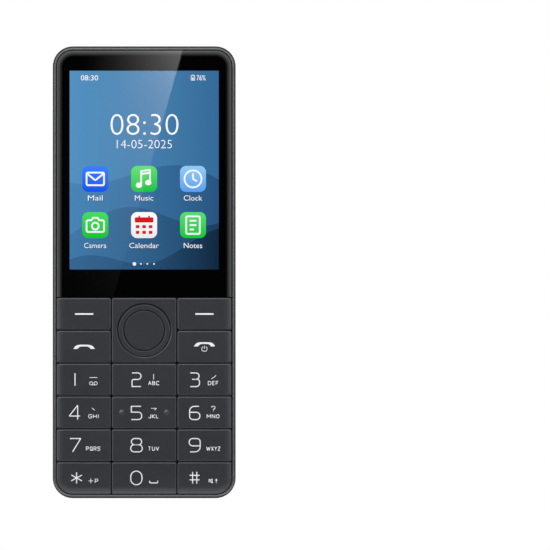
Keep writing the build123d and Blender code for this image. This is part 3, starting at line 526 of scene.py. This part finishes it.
# digits as pen strokes in a unit box, with corner radii in metres; each path is open, or closed where True
bend = 0.95 * mm
sweep = 1.6 * mm
strokeDigits = {
    "1": [([(0.5, 0, 0), (0.5, 1, 0)], False)],
    "2": [([(0, 1, 0), (1, 1, bend), (1, 0.52, bend), (0, 0.52, bend / 2), (0, 0, 0), (1, 0, 0)], False)],
    "3": [([(0.02, 1, 0), (0.95, 1, bend), (0.95, 0.53, bend), (0.2, 0.53, 0)], False),
          ([(0.5, 0.53, 0), (1, 0.53, bend), (1, 0, bend), (0, 0, 0)], False)],
    "4": [([(0.78, 0, 0), (0.78, 1, bend / 5), (0, 0.24, bend / 5), (1, 0.24, 0)], False)],
    "5": [([(0.94, 1, 0), (0, 1, 0), (0, 0.56, 0), (1, 0.56, bend), (1, 0, bend), (0, 0, 0)], False)],
    "6": [([(0.92, 1, 0), (0, 1, sweep), (0, 0, bend), (1, 0, bend), (1, 0.55, bend), (0, 0.55, 0)], False)],
    "7": [([(0, 1, 0), (1, 1, bend / 8), (0.24, 0, 0)], False)],
    "8": [(roundedBox(bend, 0.06, 0.53, 0.94, 1), True), (roundedBox(bend, 0, 0, 1, 0.53), True)],
    "9": [([(0.08, 0, 0), (1, 0, sweep), (1, 1, bend), (0, 1, bend), (0, 0.45, bend), (1, 0.45, 0)], False)],
    "0": [(roundedBox(sweep), True)],
    "*": [([(0.5, 0, 0), (0.5, 1, 0)], False), ([(0, 0.24, 0), (1, 0.76, 0)], False),
          ([(0, 0.76, 0), (1, 0.24, 0)], False)],
    "#": [([(0.3, 0, 0), (0.3, 1, 0)], False), ([(0.72, 0, 0), (0.72, 1, 0)], False),
          ([(0, 0.32, 0), (1, 0.32, 0)], False), ([(0, 0.7, 0), (1, 0.7, 0)], False)],
}
# small signs beside the digits
cup = 0.4 * mm
strokeSigns = {
    "bar": [([(0, 0.5, 0), (1, 0.5, 0)], False)],
    "upright": [([(0.5, 0, 0), (0.5, 1, 0)], False)],
    "rising": [([(0, 0, 0), (0.7, 0.6, 0), (1, 1, 0)], False)],
    "falling": [([(0, 1, 0), (1, 0, 0)], False)],
    "hook": [([(0, 0.8, 0), (1, 0.8, 0), (0.7, 0, 0)], False)],
    "space": [([(0, 1, 0), (0, 0, cup), (1, 0, cup), (1, 1, 0)], False)],
    "tape": [([(0.2, 0, 0), (0.8, 0, 0)], False), (roundedBox(sweep, 0, 0, 0.42, 1), True),
             (roundedBox(sweep, 0.58, 0, 1, 1), True)],
    "power": [([(0.5, 0.42, 0), (0.5, 1, 0)], False),
              ([(0.26, 0.8, 0), (0, 0.68, bend), (0, 0, bend), (1, 0, bend), (1, 0.68, bend),
                (0.74, 0.8, 0)], False)],
    "muted": [([(0, 0.3, 0), (0.35, 0.3, 0), (0.8, 0, 0), (0.8, 1, 0), (0.35, 0.7, 0), (0, 0.7, 0)], True),
              ([(0, 1, 0), (1, 0, 0)], False)],
    "arrow": [([(0.5, 0, 0), (0.5, 1, 0)], False), ([(0, 0.5, 0), (0.5, 1, 0), (1, 0.5, 0)], False)],
}
# the signs that are filled in
soft = 0.6 * mm
foot = 0.1 * mm
filledSigns = {
    "handset": [(0, 0, foot), (0.1, 0.72, soft), (0.24, 1, soft), (0.76, 1, soft), (0.9, 0.72, soft),
                (1, 0, foot), (0.8, 0, foot), (0.74, 0.42, soft), (0.64, 0.58, soft), (0.36, 0.58, soft),
                (0.26, 0.42, soft), (0.2, 0, foot)],
    "dash": roundedBox(foot),
}
# capital letters as pen strokes in a unit box
curl = 0.5 * mm
strokeLetters = {
    "A": [([(0, 0, 0), (0.5, 1, 0), (1, 0, 0)], False), ([(0.2, 0.34, 0), (0.8, 0.34, 0)], False)],
    "B": [([(0, 0, 0), (0, 1, 0), (0.92, 1, curl), (0.92, 0.53, curl), (0, 0.53, 0)], False),
          ([(0.5, 0.53, 0), (1, 0.53, curl), (1, 0, curl), (0, 0, 0)], False)],
    "C": [([(1, 0.82, 0), (1, 1, curl), (0, 1, curl), (0, 0, curl), (1, 0, curl), (1, 0.18, 0)], False)],
    "D": [([(0, 0, 0), (0, 1, 0), (1, 1, curl), (1, 0, curl)], True)],
    "E": [([(1, 1, 0), (0, 1, 0), (0, 0, 0), (1, 0, 0)], False), ([(0, 0.52, 0), (0.85, 0.52, 0)], False)],
    "F": [([(1, 1, 0), (0, 1, 0), (0, 0, 0)], False), ([(0, 0.5, 0), (0.85, 0.5, 0)], False)],
    "G": [([(1, 0.84, 0), (1, 1, curl), (0, 1, curl), (0, 0, curl), (1, 0, curl), (1, 0.48, 0),
           (0.6, 0.48, 0)], False)],
    "H": [([(0, 0, 0), (0, 1, 0)], False), ([(1, 0, 0), (1, 1, 0)], False),
          ([(0, 0.5, 0), (1, 0.5, 0)], False)],
    "I": [([(0.5, 0, 0), (0.5, 1, 0)], False)],
    "J": [([(1, 1, 0), (1, 0, curl), (0, 0, curl), (0, 0.28, 0)], False)],
    "K": [([(0, 0, 0), (0, 1, 0)], False), ([(1, 1, 0), (0.1, 0.5, 0), (1, 0, 0)], False)],
    "L": [([(0, 1, 0), (0, 0, 0), (1, 0, 0)], False)],
    "M": [([(0, 0, 0), (0, 1, 0), (0.5, 0.35, 0), (1, 1, 0), (1, 0, 0)], False)],
    "N": [([(0, 0, 0), (0, 1, 0), (1, 0, 0), (1, 1, 0)], False)],
    "O": [(roundedBox(curl), True)],
    "P": [([(0, 0, 0), (0, 1, 0), (1, 1, curl), (1, 0.42, curl), (0, 0.42, 0)], False)],
    "Q": [(roundedBox(curl), True), ([(0.55, 0.4, 0), (1.08, -0.12, 0)], False)],
    "R": [([(0, 0, 0), (0, 1, 0), (1, 1, curl), (1, 0.45, curl), (0, 0.45, 0)], False),
          ([(0.5, 0.45, 0), (1, 0, 0)], False)],
    "S": [([(1, 0.82, 0), (1, 1, curl), (0, 1, curl), (0, 0.52, curl), (1, 0.52, curl), (1, 0, curl),
           (0, 0, curl), (0, 0.18, 0)], False)],
    "T": [([(0.5, 0, 0), (0.5, 1, 0)], False), ([(0, 1, 0), (1, 1, 0)], False)],
    "U": [([(0, 1, 0), (0, 0, curl), (1, 0, curl), (1, 1, 0)], False)],
    "V": [([(0, 1, 0), (0.5, 0, 0), (1, 1, 0)], False)],
    "W": [([(0, 1, 0), (0.25, 0, 0), (0.5, 0.8, 0), (0.75, 0, 0), (1, 1, 0)], False)],
    "X": [([(0, 1, 0), (1, 0, 0)], False), ([(0, 0, 0), (1, 1, 0)], False)],
    "Y": [([(0, 1, 0), (0.5, 0.48, 0), (1, 1, 0)], False), ([(0.5, 0.48, 0), (0.5, 0, 0)], False)],
    "Z": [([(0, 1, 0), (1, 1, 0), (0, 0, 0), (1, 0, 0)], False)],
    "+": [([(0.5, 0, 0), (0.5, 1, 0)], False), ([(0, 0.5, 0), (1, 0.5, 0)], False)],
    "?": [([(0, 0.78, 0), (0, 1, curl), (1, 1, curl), (1, 0.55, curl), (0.5, 0.5, curl / 2),
            (0.5, 0.26, 0)], False),
          ([(0.5, 0, 0), (0.5, 0.04, 0)], False)],
}
# widths against the plain capitals, and the gap between two letters
letterShare = {"I": 0.3, "M": 1.25, "W": 1.55, "J": 0.8, "L": 0.85, "E": 0.85, "F": 0.85}
letterGap = 0.24

# legends of the keys, in boxes of photograph pixels: left, top, right, bottom
legendLook = {"pen": 0.31 * mm, "finePen": 0.18 * mm, "letterPen": 0.19 * mm, "thickness": 0.03 * mm}
legends = {
    "left_soft_key": [("dash", (75.0, 313.2, 93.3, 314.8))],
    "right_soft_key": [("dash", (195.3, 313.2, 213.6, 314.8))],
    "call_key": [("handset", (73.3, 344.7, 94.8, 348.9))],
    "end_key": [("handset", (193.8, 342.2, 215.2, 346.4)), ("power", (201.5, 345.4, 207.3, 351.5))],
    "key_1": [("1", (73.0, 372.8, 77.0, 386.4)), ("bar", (89.2, 377.0, 97.6, 378.0)),
              ("tape", (89.2, 381.4, 97.6, 385.2))],
    "key_2": [("2", (131.5, 372.4, 141.6, 387.1)), ("upright", (153.0, 373.8, 154.2, 379.8)),
              ("ABC", (148.2, 381.0, 159.2, 385.2))],
    "key_3": [("3", (189.7, 372.4, 200.1, 387.1)), ("rising", (211.0, 375.0, 216.4, 379.2)),
              ("DEF", (207.9, 381.0, 218.5, 385.2))],
    "key_4": [("4", (68.7, 404.7, 80.6, 420.0)), ("falling", (91.6, 407.6, 95.1, 410.7)),
              ("GHI", (88.2, 414.2, 98.9, 418.4))],
    "key_5": [("5", (130.8, 405.8, 142.2, 420.1)), ("hook", (150.7, 407.6, 156.6, 410.4)),
              ("JKL", (148.6, 414.2, 158.6, 418.4))],
    "key_6": [("6", (189.1, 405.8, 200.4, 420.1)), ("?", (211.4, 406.0, 215.4, 412.2)),
              ("MNO", (206.7, 414.2, 219.5, 418.4))],
    "key_7": [("7", (69.4, 438.0, 81.3, 452.4)), ("PQRS", (86.0, 446.5, 100.3, 450.8))],
    "key_8": [("8", (130.2, 438.0, 142.8, 452.4)), ("TUV", (148.0, 446.5, 159.0, 450.8))],
    "key_9": [("9", (188.7, 438.0, 200.7, 452.4)), ("WXYZ", (206.3, 446.5, 220.4, 450.8))],
    "key_star": [("*", (70.7, 471.8, 82.5, 484.1)), ("+", (88.2, 478.3, 93.4, 483.5)),
                 ("P", (94.8, 478.7, 98.2, 483.2))],
    "key_0": [("0", (130.2, 470.6, 142.5, 485.3)), ("space", (149.1, 480.2, 158.2, 483.5))],
    "key_hash": [("#", (189.1, 471.3, 200.1, 484.1)), ("muted", (208.6, 478.6, 213.4, 483.3)),
                 ("arrow", (215.0, 478.6, 217.6, 483.3))],
}


def letterMesh(word, box, thick):
    left, bottom, right, top = box
    shares = [letterShare.get(letter, 1.0) for letter in word]
    unit = (right - left) / (sum(shares) + letterGap * (len(word) - 1))
    meshes = []
    for letter, share in zip(word, shares):
        cell = (left, bottom, left + unit * share, top)
        meshes.append(strokeMesh(strokeLetters[letter], cell, legendLook["letterPen"], thick))
        left += unit * (share + letterGap)
    return joinMeshes(meshes)


def legendMesh(sign, pixels):
    box = boxFromPhoto(*pixels)
    thick = legendLook["thickness"]
    if sign in filledSigns:
        return filledMesh([filledSigns[sign]], box, thick)
    if sign in strokeDigits:
        return strokeMesh(strokeDigits[sign], box, legendLook["pen"], thick)
    if sign in strokeSigns:
        pen = "pen" if sign == "space" else "finePen"
        return strokeMesh(strokeSigns[sign], box, legendLook[pen], thick)
    return letterMesh(sign, box, thick)


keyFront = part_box("key_2")[0][1]
for key, signs in legends.items():
    mesh = joinMeshes([legendMesh(sign, pixels) for sign, pixels in signs])
    standUp(mesh, keyFront)
    newPiece("legend_" + key.replace("key_", ""), mesh, made["legendInk"], key)
print("legends printed:", len(legends))

# smooth faces that part at every edge sharper than this angle
sharpAngle = math.radians(30)


def softShading(solid):
    for face in solid.faces:
        face.smooth = True
    for edge in solid.edges:
        edge.smooth = edge.calc_face_angle(math.pi) < sharpAngle


# the window for the lit area, and the ink round it
windowLook = {"left": -litHalf, "right": litHalf, "bottom": 65.5 * mm, "top": 122.4 * mm, "edge": 0.06 * mm,
              "corner": 4.5 * mm, "cornerSteps": 12, "thickness": 0.03 * mm, "glassGap": 0.01 * mm}
# the cover glass: its front edge falls away in a shallow arc at the sides and the top
lensShape = {"curve": 1.7 * mm, "drop": 0.3 * mm, "corner": 4.55 * mm, "cornerSteps": 24, "edge": 0.1 * mm,
             "rows": 14, "spare": 12 * mm}


def lensMesh():
    low, high = [Vector(corner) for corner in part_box("cover_glass")]
    curve, drop = lensShape["curve"], lensShape["drop"]
    arc = (curve**2 + drop**2) / (2 * drop)
    lowEnd = low.z - lensShape["spare"]  # spare length, cut off once the arc is made
    corners = boxCorners(low.x, lowEnd, high.x, high.z)
    solid = flatSheet(corners, lensShape["corner"], lensShape["cornerSteps"])
    sheet = solid.faces[:][0]
    wall = bmesh.ops.extrude_face_region(solid, geom=[sheet], use_keep_orig=True)
    front = [item for item in wall["geom"] if isinstance(item, bmesh.types.BMFace)][0]
    rise = high.y - low.y
    bmesh.ops.translate(solid, vec=(0, 0, rise - drop - lensShape["edge"] / 2), verts=front.verts[:])
    # rounded brink, then the rows of the arc, each a small inset and a smaller rise
    insets = [(lensShape["edge"] / 3, lensShape["edge"] / 2)]
    reached = insets[0][0]
    for row in range(1, lensShape["rows"] + 1):
        start = max(reached, curve * (row - 1) / lensShape["rows"])
        end = curve * row / lensShape["rows"]
        climb = math.sqrt(arc**2 - (curve - end) ** 2) - math.sqrt(arc**2 - (curve - start) ** 2)
        insets.append((end - start, climb))
    insets.append((curve / lensShape["rows"], 0.0))
    for width, climb in insets:
        bmesh.ops.inset_region(solid, faces=[front], thickness=width, depth=0.0, use_even_offset=True)
        bmesh.ops.translate(solid, vec=(0, 0, climb), verts=front.verts[:])
    cutPlane(solid, (0, low.z, 0), (0, 1, 0), True)
    bmesh.ops.holes_fill(solid, edges=solid.edges[:], sides=0)
    # cuts along the window part clear from printed glass
    # cuts before the corners keep the straight runs straight
    straight = lensShape["corner"] + lensShape["edge"]
    upright = [windowLook["left"], windowLook["right"], low.x + straight, high.x - straight]
    level = [windowLook["bottom"], windowLook["top"], high.z - straight]
    cuts = [((x, 0, 0), (1, 0, 0)) for x in upright] + [((0, z, 0), (0, 1, 0)) for z in level]
    for place, direction in cuts:
        cutPlane(solid, place, direction)
    bmesh.ops.recalc_face_normals(solid, faces=solid.faces)
    softShading(solid)
    return meshFromSolid("cover_lens", solid)


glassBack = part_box("cover_glass")[1][1]
lens = lensMesh()
standUp(lens, glassBack)
coverLens = newPiece("cover_lens", lens, made["lensGlass"], "handset")
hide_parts("cover_glass")
lens.materials.append(made["printedGlass"])
for face in lens.polygons:
    across = windowLook["left"] < face.center.x < windowLook["right"]
    upright = windowLook["bottom"] < face.center.z < windowLook["top"]
    face.material_index = 0 if across and upright else 1
print("cover glass shaped")


# black ink under the glass, round the window
def borderMesh():
    low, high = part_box("cover_glass")
    edge = windowLook["edge"]
    corners = boxCorners(low[0] + edge, low[2] + edge, high[0] - edge, high[2] - edge)
    solid = flatSheet(corners, windowLook["corner"], windowLook["cornerSteps"])
    bmesh.ops.delete(solid, geom=solid.faces[:], context="FACES_ONLY")
    hole = boxCorners(windowLook["left"], windowLook["bottom"], windowLook["right"], windowLook["top"])
    inner = [solid.verts.new((x, z, 0)) for x, z in hole]
    for index in range(len(inner)):
        solid.edges.new((inner[index - 1], inner[index]))
    bmesh.ops.triangle_fill(solid, use_beauty=True, use_dissolve=False, edges=solid.edges[:])
    raiseSheet(solid, windowLook["thickness"])
    return meshFromSolid("screen_border", solid)


border = borderMesh()
standUp(border, glassBack + windowLook["glassGap"])
newPiece("screen_border", border, made["borderInk"], "handset")
print("screen border printed")

# the picture on the screen: clock, date, status line and six plain tiles with generic signs
screenLook = {"layer": 0.02 * mm, "thickness": 0.012 * mm, "tileCorner": 1.75 * mm, "cornerSteps": 10,
              "signPen": 0.5 * mm, "finePen": 0.16 * mm}
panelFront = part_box("lcd_panel")[0][1]
tileLayer, signLayer = 1, 2  # layers in front of the panel


def tileMesh(box, corner, thickness):
    left, bottom, right, top = box
    solid = bmesh.new()
    bmesh.ops.create_grid(solid, x_segments=1, y_segments=1, size=0.5)
    bmesh.ops.scale(solid, vec=(right - left, top - bottom, 1), verts=solid.verts)
    roundCorners(solid, solid.verts[:], corner, screenLook["cornerSteps"])
    bmesh.ops.translate(solid, vec=((left + right) / 2, (bottom + top) / 2, 0), verts=solid.verts)
    raiseSheet(solid, thickness)
    return meshFromSolid("tile", solid)


def screenPiece(name, meshes, material, layer):
    mesh = joinMeshes(meshes)
    standUp(mesh, panelFront - layer * screenLook["layer"])
    newPiece(name, mesh, material, "handset")


# inks of the signs, from the top of the screen to its bottom
signInks = {
    "signWhite": [(255, 255, 255), (244, 248, 252)],
    "signRed": [(236, 44, 40), (206, 22, 24)],
    "signShade": [(38, 78, 116), (26, 52, 82)],
}
signSpan = (70, 270)  # rows of the photograph
for name, (top, bottom) in signInks.items():
    made[name] = litSign(name, top, bottom, photoZ(signSpan[0]), photoZ(signSpan[1]))

# words, the box that each fills in photograph pixels, and how far each is thinned
thin = screenLook["thickness"]
words = {
    "status_clock": ("08:30", (80.8, 75.2, 98.1, 80.4), 0.0),
    "status_charge": ("76%", (196.6, 75.2, 205.6, 80.4), 0.0),
    "big_clock": ("08:30", (110.5, 114.0, 178.5, 134.9), -0.017),
    "date_line": ("14-05-2025", (116.8, 139.9, 171.9, 148.3), -0.014),
}
for name, (text, pixels, weight) in words.items():
    screenPiece(name, [wordMesh(text, boxFromPhoto(*pixels), thin, weight)], made["signWhite"], signLayer)
batteryLook = {
    "pixels": (190.9, 74.6, 194.9, 80.5),
    "strokes": [(roundedBox(0, 0, 0, 1, 0.86), True), ([(0.35, 1, 0), (0.65, 1, 0)], False)],
    "fill": roundedBox(0, 0.32, 0.16, 0.68, 0.5),
}
box = boxFromPhoto(*batteryLook["pixels"])
batteryMeshes = [strokeMesh(batteryLook["strokes"], box, screenLook["finePen"], thin),
                 filledMesh([batteryLook["fill"]], box, thin)]
screenPiece("status_battery", batteryMeshes, made["signWhite"], signLayer)

# page dots: the middle and radius of each, on one row of photograph pixels
dots = [(134.4, 1.8), (140.9, 0.8), (147.4, 0.8), (154.0, 0.8)]
dotRow = 263.9
dotMeshes = []
for middle, radius in dots:
    box = boxFromPhoto(middle - radius, dotRow - radius, middle + radius, dotRow + radius)
    dotMeshes.append(filledMesh([roundedBox(radius * photo["pixelSize"])], box, thin))
screenPiece("page_dots", dotMeshes, made["signWhite"], signLayer)
print("clock and status line drawn")

# six tiles, each with a sign in a unit box and a plain word below
full = 4 * mm
dateWide, dateTall = 0.14, 0.12
tileSigns = {
    "mail": {"word": "Mail", "column": 0, "row": 0, "ink": "signWhite",
             "top": (52, 128, 255), "bottom": (0, 84, 236),
             "strokes": [(roundedBox(full / 10, 0.14, 0.24, 0.86, 0.76), True),
                         ([(0.16, 0.72, 0), (0.5, 0.44, full / 12), (0.84, 0.72, 0)], False)],
             "fills": []},
    "music": {"word": "Music", "column": 1, "row": 0, "ink": "signWhite",
              "top": (98, 224, 116), "bottom": (22, 196, 66),
              "strokes": [([(0.38, 0.28, 0), (0.38, 0.82, 0), (0.74, 0.88, 0), (0.74, 0.38, 0)], False),
                          ([(0.38, 0.7, 0), (0.74, 0.76, 0)], False)],
              "fills": [roundedBox(full, 0.18, 0.16, 0.42, 0.36), roundedBox(full, 0.54, 0.26, 0.78, 0.46)]},
    "clock": {"word": "Clock", "column": 2, "row": 0, "ink": "signWhite",
              "top": (150, 206, 250), "bottom": (92, 160, 240),
              "strokes": [(roundedBox(full, 0.15, 0.15, 0.85, 0.85), True),
                          ([(0.5, 0.74, 0), (0.5, 0.5, 0), (0.67, 0.4, 0)], False)],
              "fills": []},
    "camera": {"word": "Camera", "column": 0, "row": 1, "ink": "signWhite",
               "top": (70, 222, 96), "bottom": (12, 196, 44),
               "strokes": [([(0.14, 0.22, full / 8), (0.86, 0.22, full / 8), (0.86, 0.7, full / 8),
                             (0.66, 0.7, 0), (0.6, 0.8, 0), (0.4, 0.8, 0), (0.34, 0.7, 0),
                             (0.14, 0.7, full / 8)], True),
                           (roundedBox(full, 0.36, 0.32, 0.64, 0.6), True)],
               "fills": []},
    "calendar": {"word": "Calendar", "column": 1, "row": 1, "ink": "signRed",
                 "top": (255, 255, 255), "bottom": (236, 238, 242),
                 "strokes": [([(x, 0.74, 0), (x, 0.88, 0)], False) for x in (0.3, 0.7)],
                 "fills": [roundedBox(full / 12, 0.14, 0.6, 0.86, 0.8)]
                 + [roundedBox(0, x, z, x + dateWide, z + dateTall)
                    for x in (0.18, 0.43, 0.68) for z in (0.16, 0.38)]},
    "notes": {"word": "Notes", "column": 2, "row": 1, "ink": "signWhite",
              "top": (88, 226, 112), "bottom": (18, 198, 58),
              "strokes": [(roundedBox(full / 10, 0.22, 0.14, 0.78, 0.86), True)]
              + [([(0.36, z, 0), (x, z, 0)], False) for x, z in ((0.64, 0.68), (0.64, 0.5), (0.54, 0.32))],
              "fills": []},
}
tileGrid = {"lefts": (82.3, 131.1, 180.0), "tops": (165.9, 212.1), "size": 26.0, "wordTops": (195.4, 242.9),
            "wordHeight": 5.2, "letterWidth": 3.7, "shade": 0.6}
for name, tile in tileSigns.items():
    left, top = tileGrid["lefts"][tile["column"]], tileGrid["tops"][tile["row"]]
    box = boxFromPhoto(left, top, left + tileGrid["size"], top + tileGrid["size"])
    paint = litSign("tile_" + name, tile["top"], tile["bottom"], box[3], box[1])
    screenPiece("tile_" + name, [tileMesh(box, screenLook["tileCorner"], thin)], paint, tileLayer)
    signMeshes = [strokeMesh(tile["strokes"], box, screenLook["signPen"], thin)]
    signMeshes += [filledMesh([path], box, thin) for path in tile["fills"]]
    screenPiece("sign_" + name, signMeshes, made[tile["ink"]], signLayer)
    # the word below the tile, and its soft shade a little lower and to the right
    middle = left + tileGrid["size"] / 2
    half = len(tile["word"]) * tileGrid["letterWidth"] / 2
    wordTop = tileGrid["wordTops"][tile["row"]]
    prints = (("word_", 0, "signWhite", signLayer), ("shade_", tileGrid["shade"], "signShade", tileLayer))
    for kind, shift, ink, layer in prints:
        wordBox = boxFromPhoto(middle - half + shift, wordTop + shift, middle + half + shift,
                               wordTop + tileGrid["wordHeight"] + shift)
        screenPiece(kind + name, [wordMesh(tile["word"], wordBox, thin)], made[ink], layer)
print("tiles drawn:", len(tileSigns))

# pale floor that keeps the shadow, and looks white to the eye, in gloss and through glass
stageLook = {"floorSize": 1.8, "floorDrop": 0.02 * mm, "floorColour": (226, 226, 226), "floorRoughness": 0.9,
             "floorGlow": 0.45, "ambient": 0.3}


def eyeRays(tree):
    path = tree.nodes.new("ShaderNodeLightPath").outputs
    seen = maths(tree, "MAXIMUM", path["Is Camera Ray"], path["Is Glossy Ray"])
    return maths(tree, "MAXIMUM", seen, path["Is Transmission Ray"])


def makeFloor():
    solid = bmesh.new()
    bmesh.ops.create_grid(solid, x_segments=1, y_segments=1, size=stageLook["floorSize"] / 2)
    bmesh.ops.translate(solid, vec=(0, 0, -stageLook["floorDrop"]), verts=solid.verts)
    mesh = meshFromSolid("floor", solid)
    material, tree, shader = newMaterial("paleFloor")
    shader.inputs["Base Color"].default_value = linear(stageLook["floorColour"])
    shader.inputs["Roughness"].default_value = stageLook["floorRoughness"]
    shader.inputs["Specular IOR Level"].default_value = 0.0
    shader.inputs["Emission Color"].default_value = (1, 1, 1, 1)
    glow = maths(tree, "MULTIPLY", eyeRays(tree), stageLook["floorGlow"])
    tree.links.new(glow, shader.inputs["Emission Strength"])
    mesh.materials.append(material)
    floor = addObject("floor", mesh)


def makeWorld():
    world = bpy.data.worlds.new("studio")
    bpy.context.scene.world = world
    world.use_nodes = True
    tree = world.node_tree
    background = tree.nodes["Background"]
    background.inputs["Color"].default_value = (1, 1, 1, 1)
    level = mapRange(tree, eyeRays(tree), 0.0, 1.0, stageLook["ambient"], 1.0)
    tree.links.new(level, background.inputs["Strength"])
    world.cycles.sampling_method = "NONE"


# soft lamps for the diffuse light
lamps = {
    "frontLeft": {"place": (-0.5, -1.05, 0.6), "size": 0.7, "power": 4.4},
    "frontRight": {"place": (0.45, -1.05, 0.5), "size": 0.7, "power": 4.0},
    "backLeft": {"place": (-0.65, 0.95, 0.55), "size": 0.7, "power": 4.7},
    "backRight": {"place": (0.65, 0.95, 0.55), "size": 0.7, "power": 4.7},
    "sideLeft": {"place": (-1.1, 0.0, 0.4), "size": 0.7, "power": 2.2},
    "sideRight": {"place": (1.1, 0.0, 0.4), "size": 0.7, "power": 2.2},
    "above": {"place": (0.0, -0.1, 1.3), "size": 0.8, "power": 4.0},
}


def makeLamps():
    aim = Vector((0, 0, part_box("rear_shell")[1][2] / 2))
    for name, lamp in lamps.items():
        light = bpy.data.lights.new(name, "AREA")
        light.size = lamp["size"]
        light.energy = lamp["power"]
        holder = addObject(name, light)
        holder.location = lamp["place"]
        holder.rotation_euler = (aim - Vector(lamp["place"])).to_track_quat("-Z", "Y").to_euler()
        holder.visible_glossy = False


# what gloss sees: a dim tent with soft bright rings round the front and back axes and a faint band
# at the sides, a board on the floor, and a slanted card for the sheen
tentLook = {"radius": 0.8, "centre": 0.065, "strength": 2.5, "segments": 48, "rings": 24,
            "glow": [(0.0, 0.0), (0.03, 0.0), (0.072, 0.12), (0.11, 0.29), (0.146, 0.53), (0.182, 0.74),
                     (0.222, 1.0), (0.24, 0.8), (0.27, 0.25), (0.32, 0.06), (0.42, 0.05), (0.47, 0.11),
                     (0.53, 0.11), (0.58, 0.05), (0.66, 0.04), (0.72, 0.2), (0.78, 0.26), (0.86, 0.2),
                     (0.93, 0.05), (1.0, 0.03)],
            "lean": (-0.1, 0.0, 0.15)}
boardLook = {"reach": 0.1, "drop": 0.01 * mm, "strength": 1.5,
             "glow": [(-0.06, 0.03), (-0.012, 0.6), (-0.0095, 0.6), (-0.0088, 1.0), (-0.0048, 1.0),
                      (-0.0044, 0.03), (0.0, 0.03), (0.03, 0.27)]}
sheenLook = {"depth": -0.3, "line": [(112.6, 300.0), (180.4, 58.0)], "crest": 182.8, "width": 29 * mm,
             "strength": 2.7, "fadeAcross": 2.1, "fadeDown": 56.0, "reach": 0.26}


def glossOnly(name, mesh, material, height=0.0):
    mesh.materials.append(material)
    prop = addObject(name, mesh)
    prop.location.z = height
    for flag in ("visible_camera", "visible_diffuse", "visible_volume_scatter", "visible_shadow"):
        setattr(prop, flag, False)


def glowMaterial(name):
    material, tree, shader = newMaterial(name)
    tree.nodes.remove(shader)
    glow = tree.nodes.new("ShaderNodeEmission")
    tree.links.new(glow.outputs["Emission"], tree.nodes["Material Output"].inputs["Surface"])
    return material, tree, glow


def makeTent():
    solid = bmesh.new()
    bmesh.ops.create_uvsphere(solid, u_segments=tentLook["segments"], v_segments=tentLook["rings"],
                              radius=tentLook["radius"])
    cutPlane(solid, (0, 0, -tentLook["centre"]), (0, 0, 1), True)
    mesh = meshFromSolid("tent", solid)
    material, tree, glow = glowMaterial("tentGlow")
    aim = addNode(tree, "ShaderNodeVectorMath", {"operation": "NORMALIZE"}, i0=objectPlace(tree)).outputs[0]
    # the glow goes by the angle from the front axis, 0, to the back axis, 1
    front = maths(tree, "MULTIPLY", separate(tree, aim)["Y"], -1.0)
    angle = maths(tree, "DIVIDE", maths(tree, "ARCCOSINE", front), math.pi)
    stops = [(position, grey(level)) for position, level in tentLook["glow"]]
    tree.links.new(ramp(tree, angle, stops), glow.inputs["Color"])
    lean = maths(tree, "ADD", dotProduct(tree, aim, tentLook["lean"]), 1.0)
    tree.links.new(maths(tree, "MULTIPLY", lean, tentLook["strength"]), glow.inputs["Strength"])
    glossOnly("tent", mesh, material, tentLook["centre"])


# a dark board on the floor, for gloss alone: paler close to the phone's front, and behind it
def makeBoard():
    solid = bmesh.new()
    bmesh.ops.create_circle(solid, cap_ends=True, segments=tentLook["segments"], radius=tentLook["radius"])
    bmesh.ops.translate(solid, vec=(0, 0, -boardLook["drop"]), verts=solid.verts)
    mesh = meshFromSolid("board", solid)
    material, tree, glow = glowMaterial("boardGlow")
    reach = boardLook["reach"]
    share = mapRange(tree, separate(tree, objectPlace(tree))["Y"], -reach, reach, 0.0, 1.0)
    stops = [((place + reach) / (2 * reach), grey(level)) for place, level in boardLook["glow"]]
    tree.links.new(ramp(tree, share, stops), glow.inputs["Color"])
    glow.inputs["Strength"].default_value = boardLook["strength"]
    glossOnly("board", mesh, material)


def makeSheenCard():
    bottom, top = [Vector((photoX(x), 0, photoZ(z))) for x, z in sheenLook["line"]]
    crest = Vector((photoX(sheenLook["crest"]), 0, top.z + sheenLook["reach"]))
    wide = Vector((-sheenLook["width"], 0, 0))
    solid = bmesh.new()
    shift = solid.loops.layers.uv.new("card")
    # the slanted card, and one above it for the curved top edge
    for low, high, lowShade in ((bottom, top, 0), (top, crest, 1)):
        card = solid.faces.new([solid.verts.new(place) for place in (low + wide, low, high, high + wide)])
        for loop, place in zip(card.loops, ((0, lowShade), (1, lowShade), (1, 1), (0, 1))):
            loop[shift].uv = place
    bmesh.ops.translate(solid, vec=(0, sheenLook["depth"], 0), verts=solid.verts)
    mesh = meshFromSolid("sheenCard", solid)
    material, tree, glow = glowMaterial("sheenGlow")
    # clear film with a glow of its own, so that what lies behind it adds to it
    film = tree.nodes.new("ShaderNodeBsdfTransparent")
    both = addNode(tree, "ShaderNodeAddShader", i0=glow.outputs["Emission"], i1=film.outputs["BSDF"])
    tree.links.new(both.outputs["Shader"], tree.nodes["Material Output"].inputs["Surface"])
    place = separate(tree, tree.nodes.new("ShaderNodeTexCoord").outputs["UV"])
    across = maths(tree, "POWER", place["X"], sheenLook["fadeAcross"])
    down = maths(tree, "POWER", sheenLook["fadeDown"], maths(tree, "SUBTRACT", place["Y"], 1.0))
    level = maths(tree, "MULTIPLY", maths(tree, "MULTIPLY", across, down), sheenLook["strength"])
    tree.links.new(level, glow.inputs["Strength"])
    glossOnly("sheenCard", mesh, material)


makeFloor()
makeWorld()
makeLamps()
makeTent()
makeBoard()
makeSheenCard()
print("stage and lights ready")
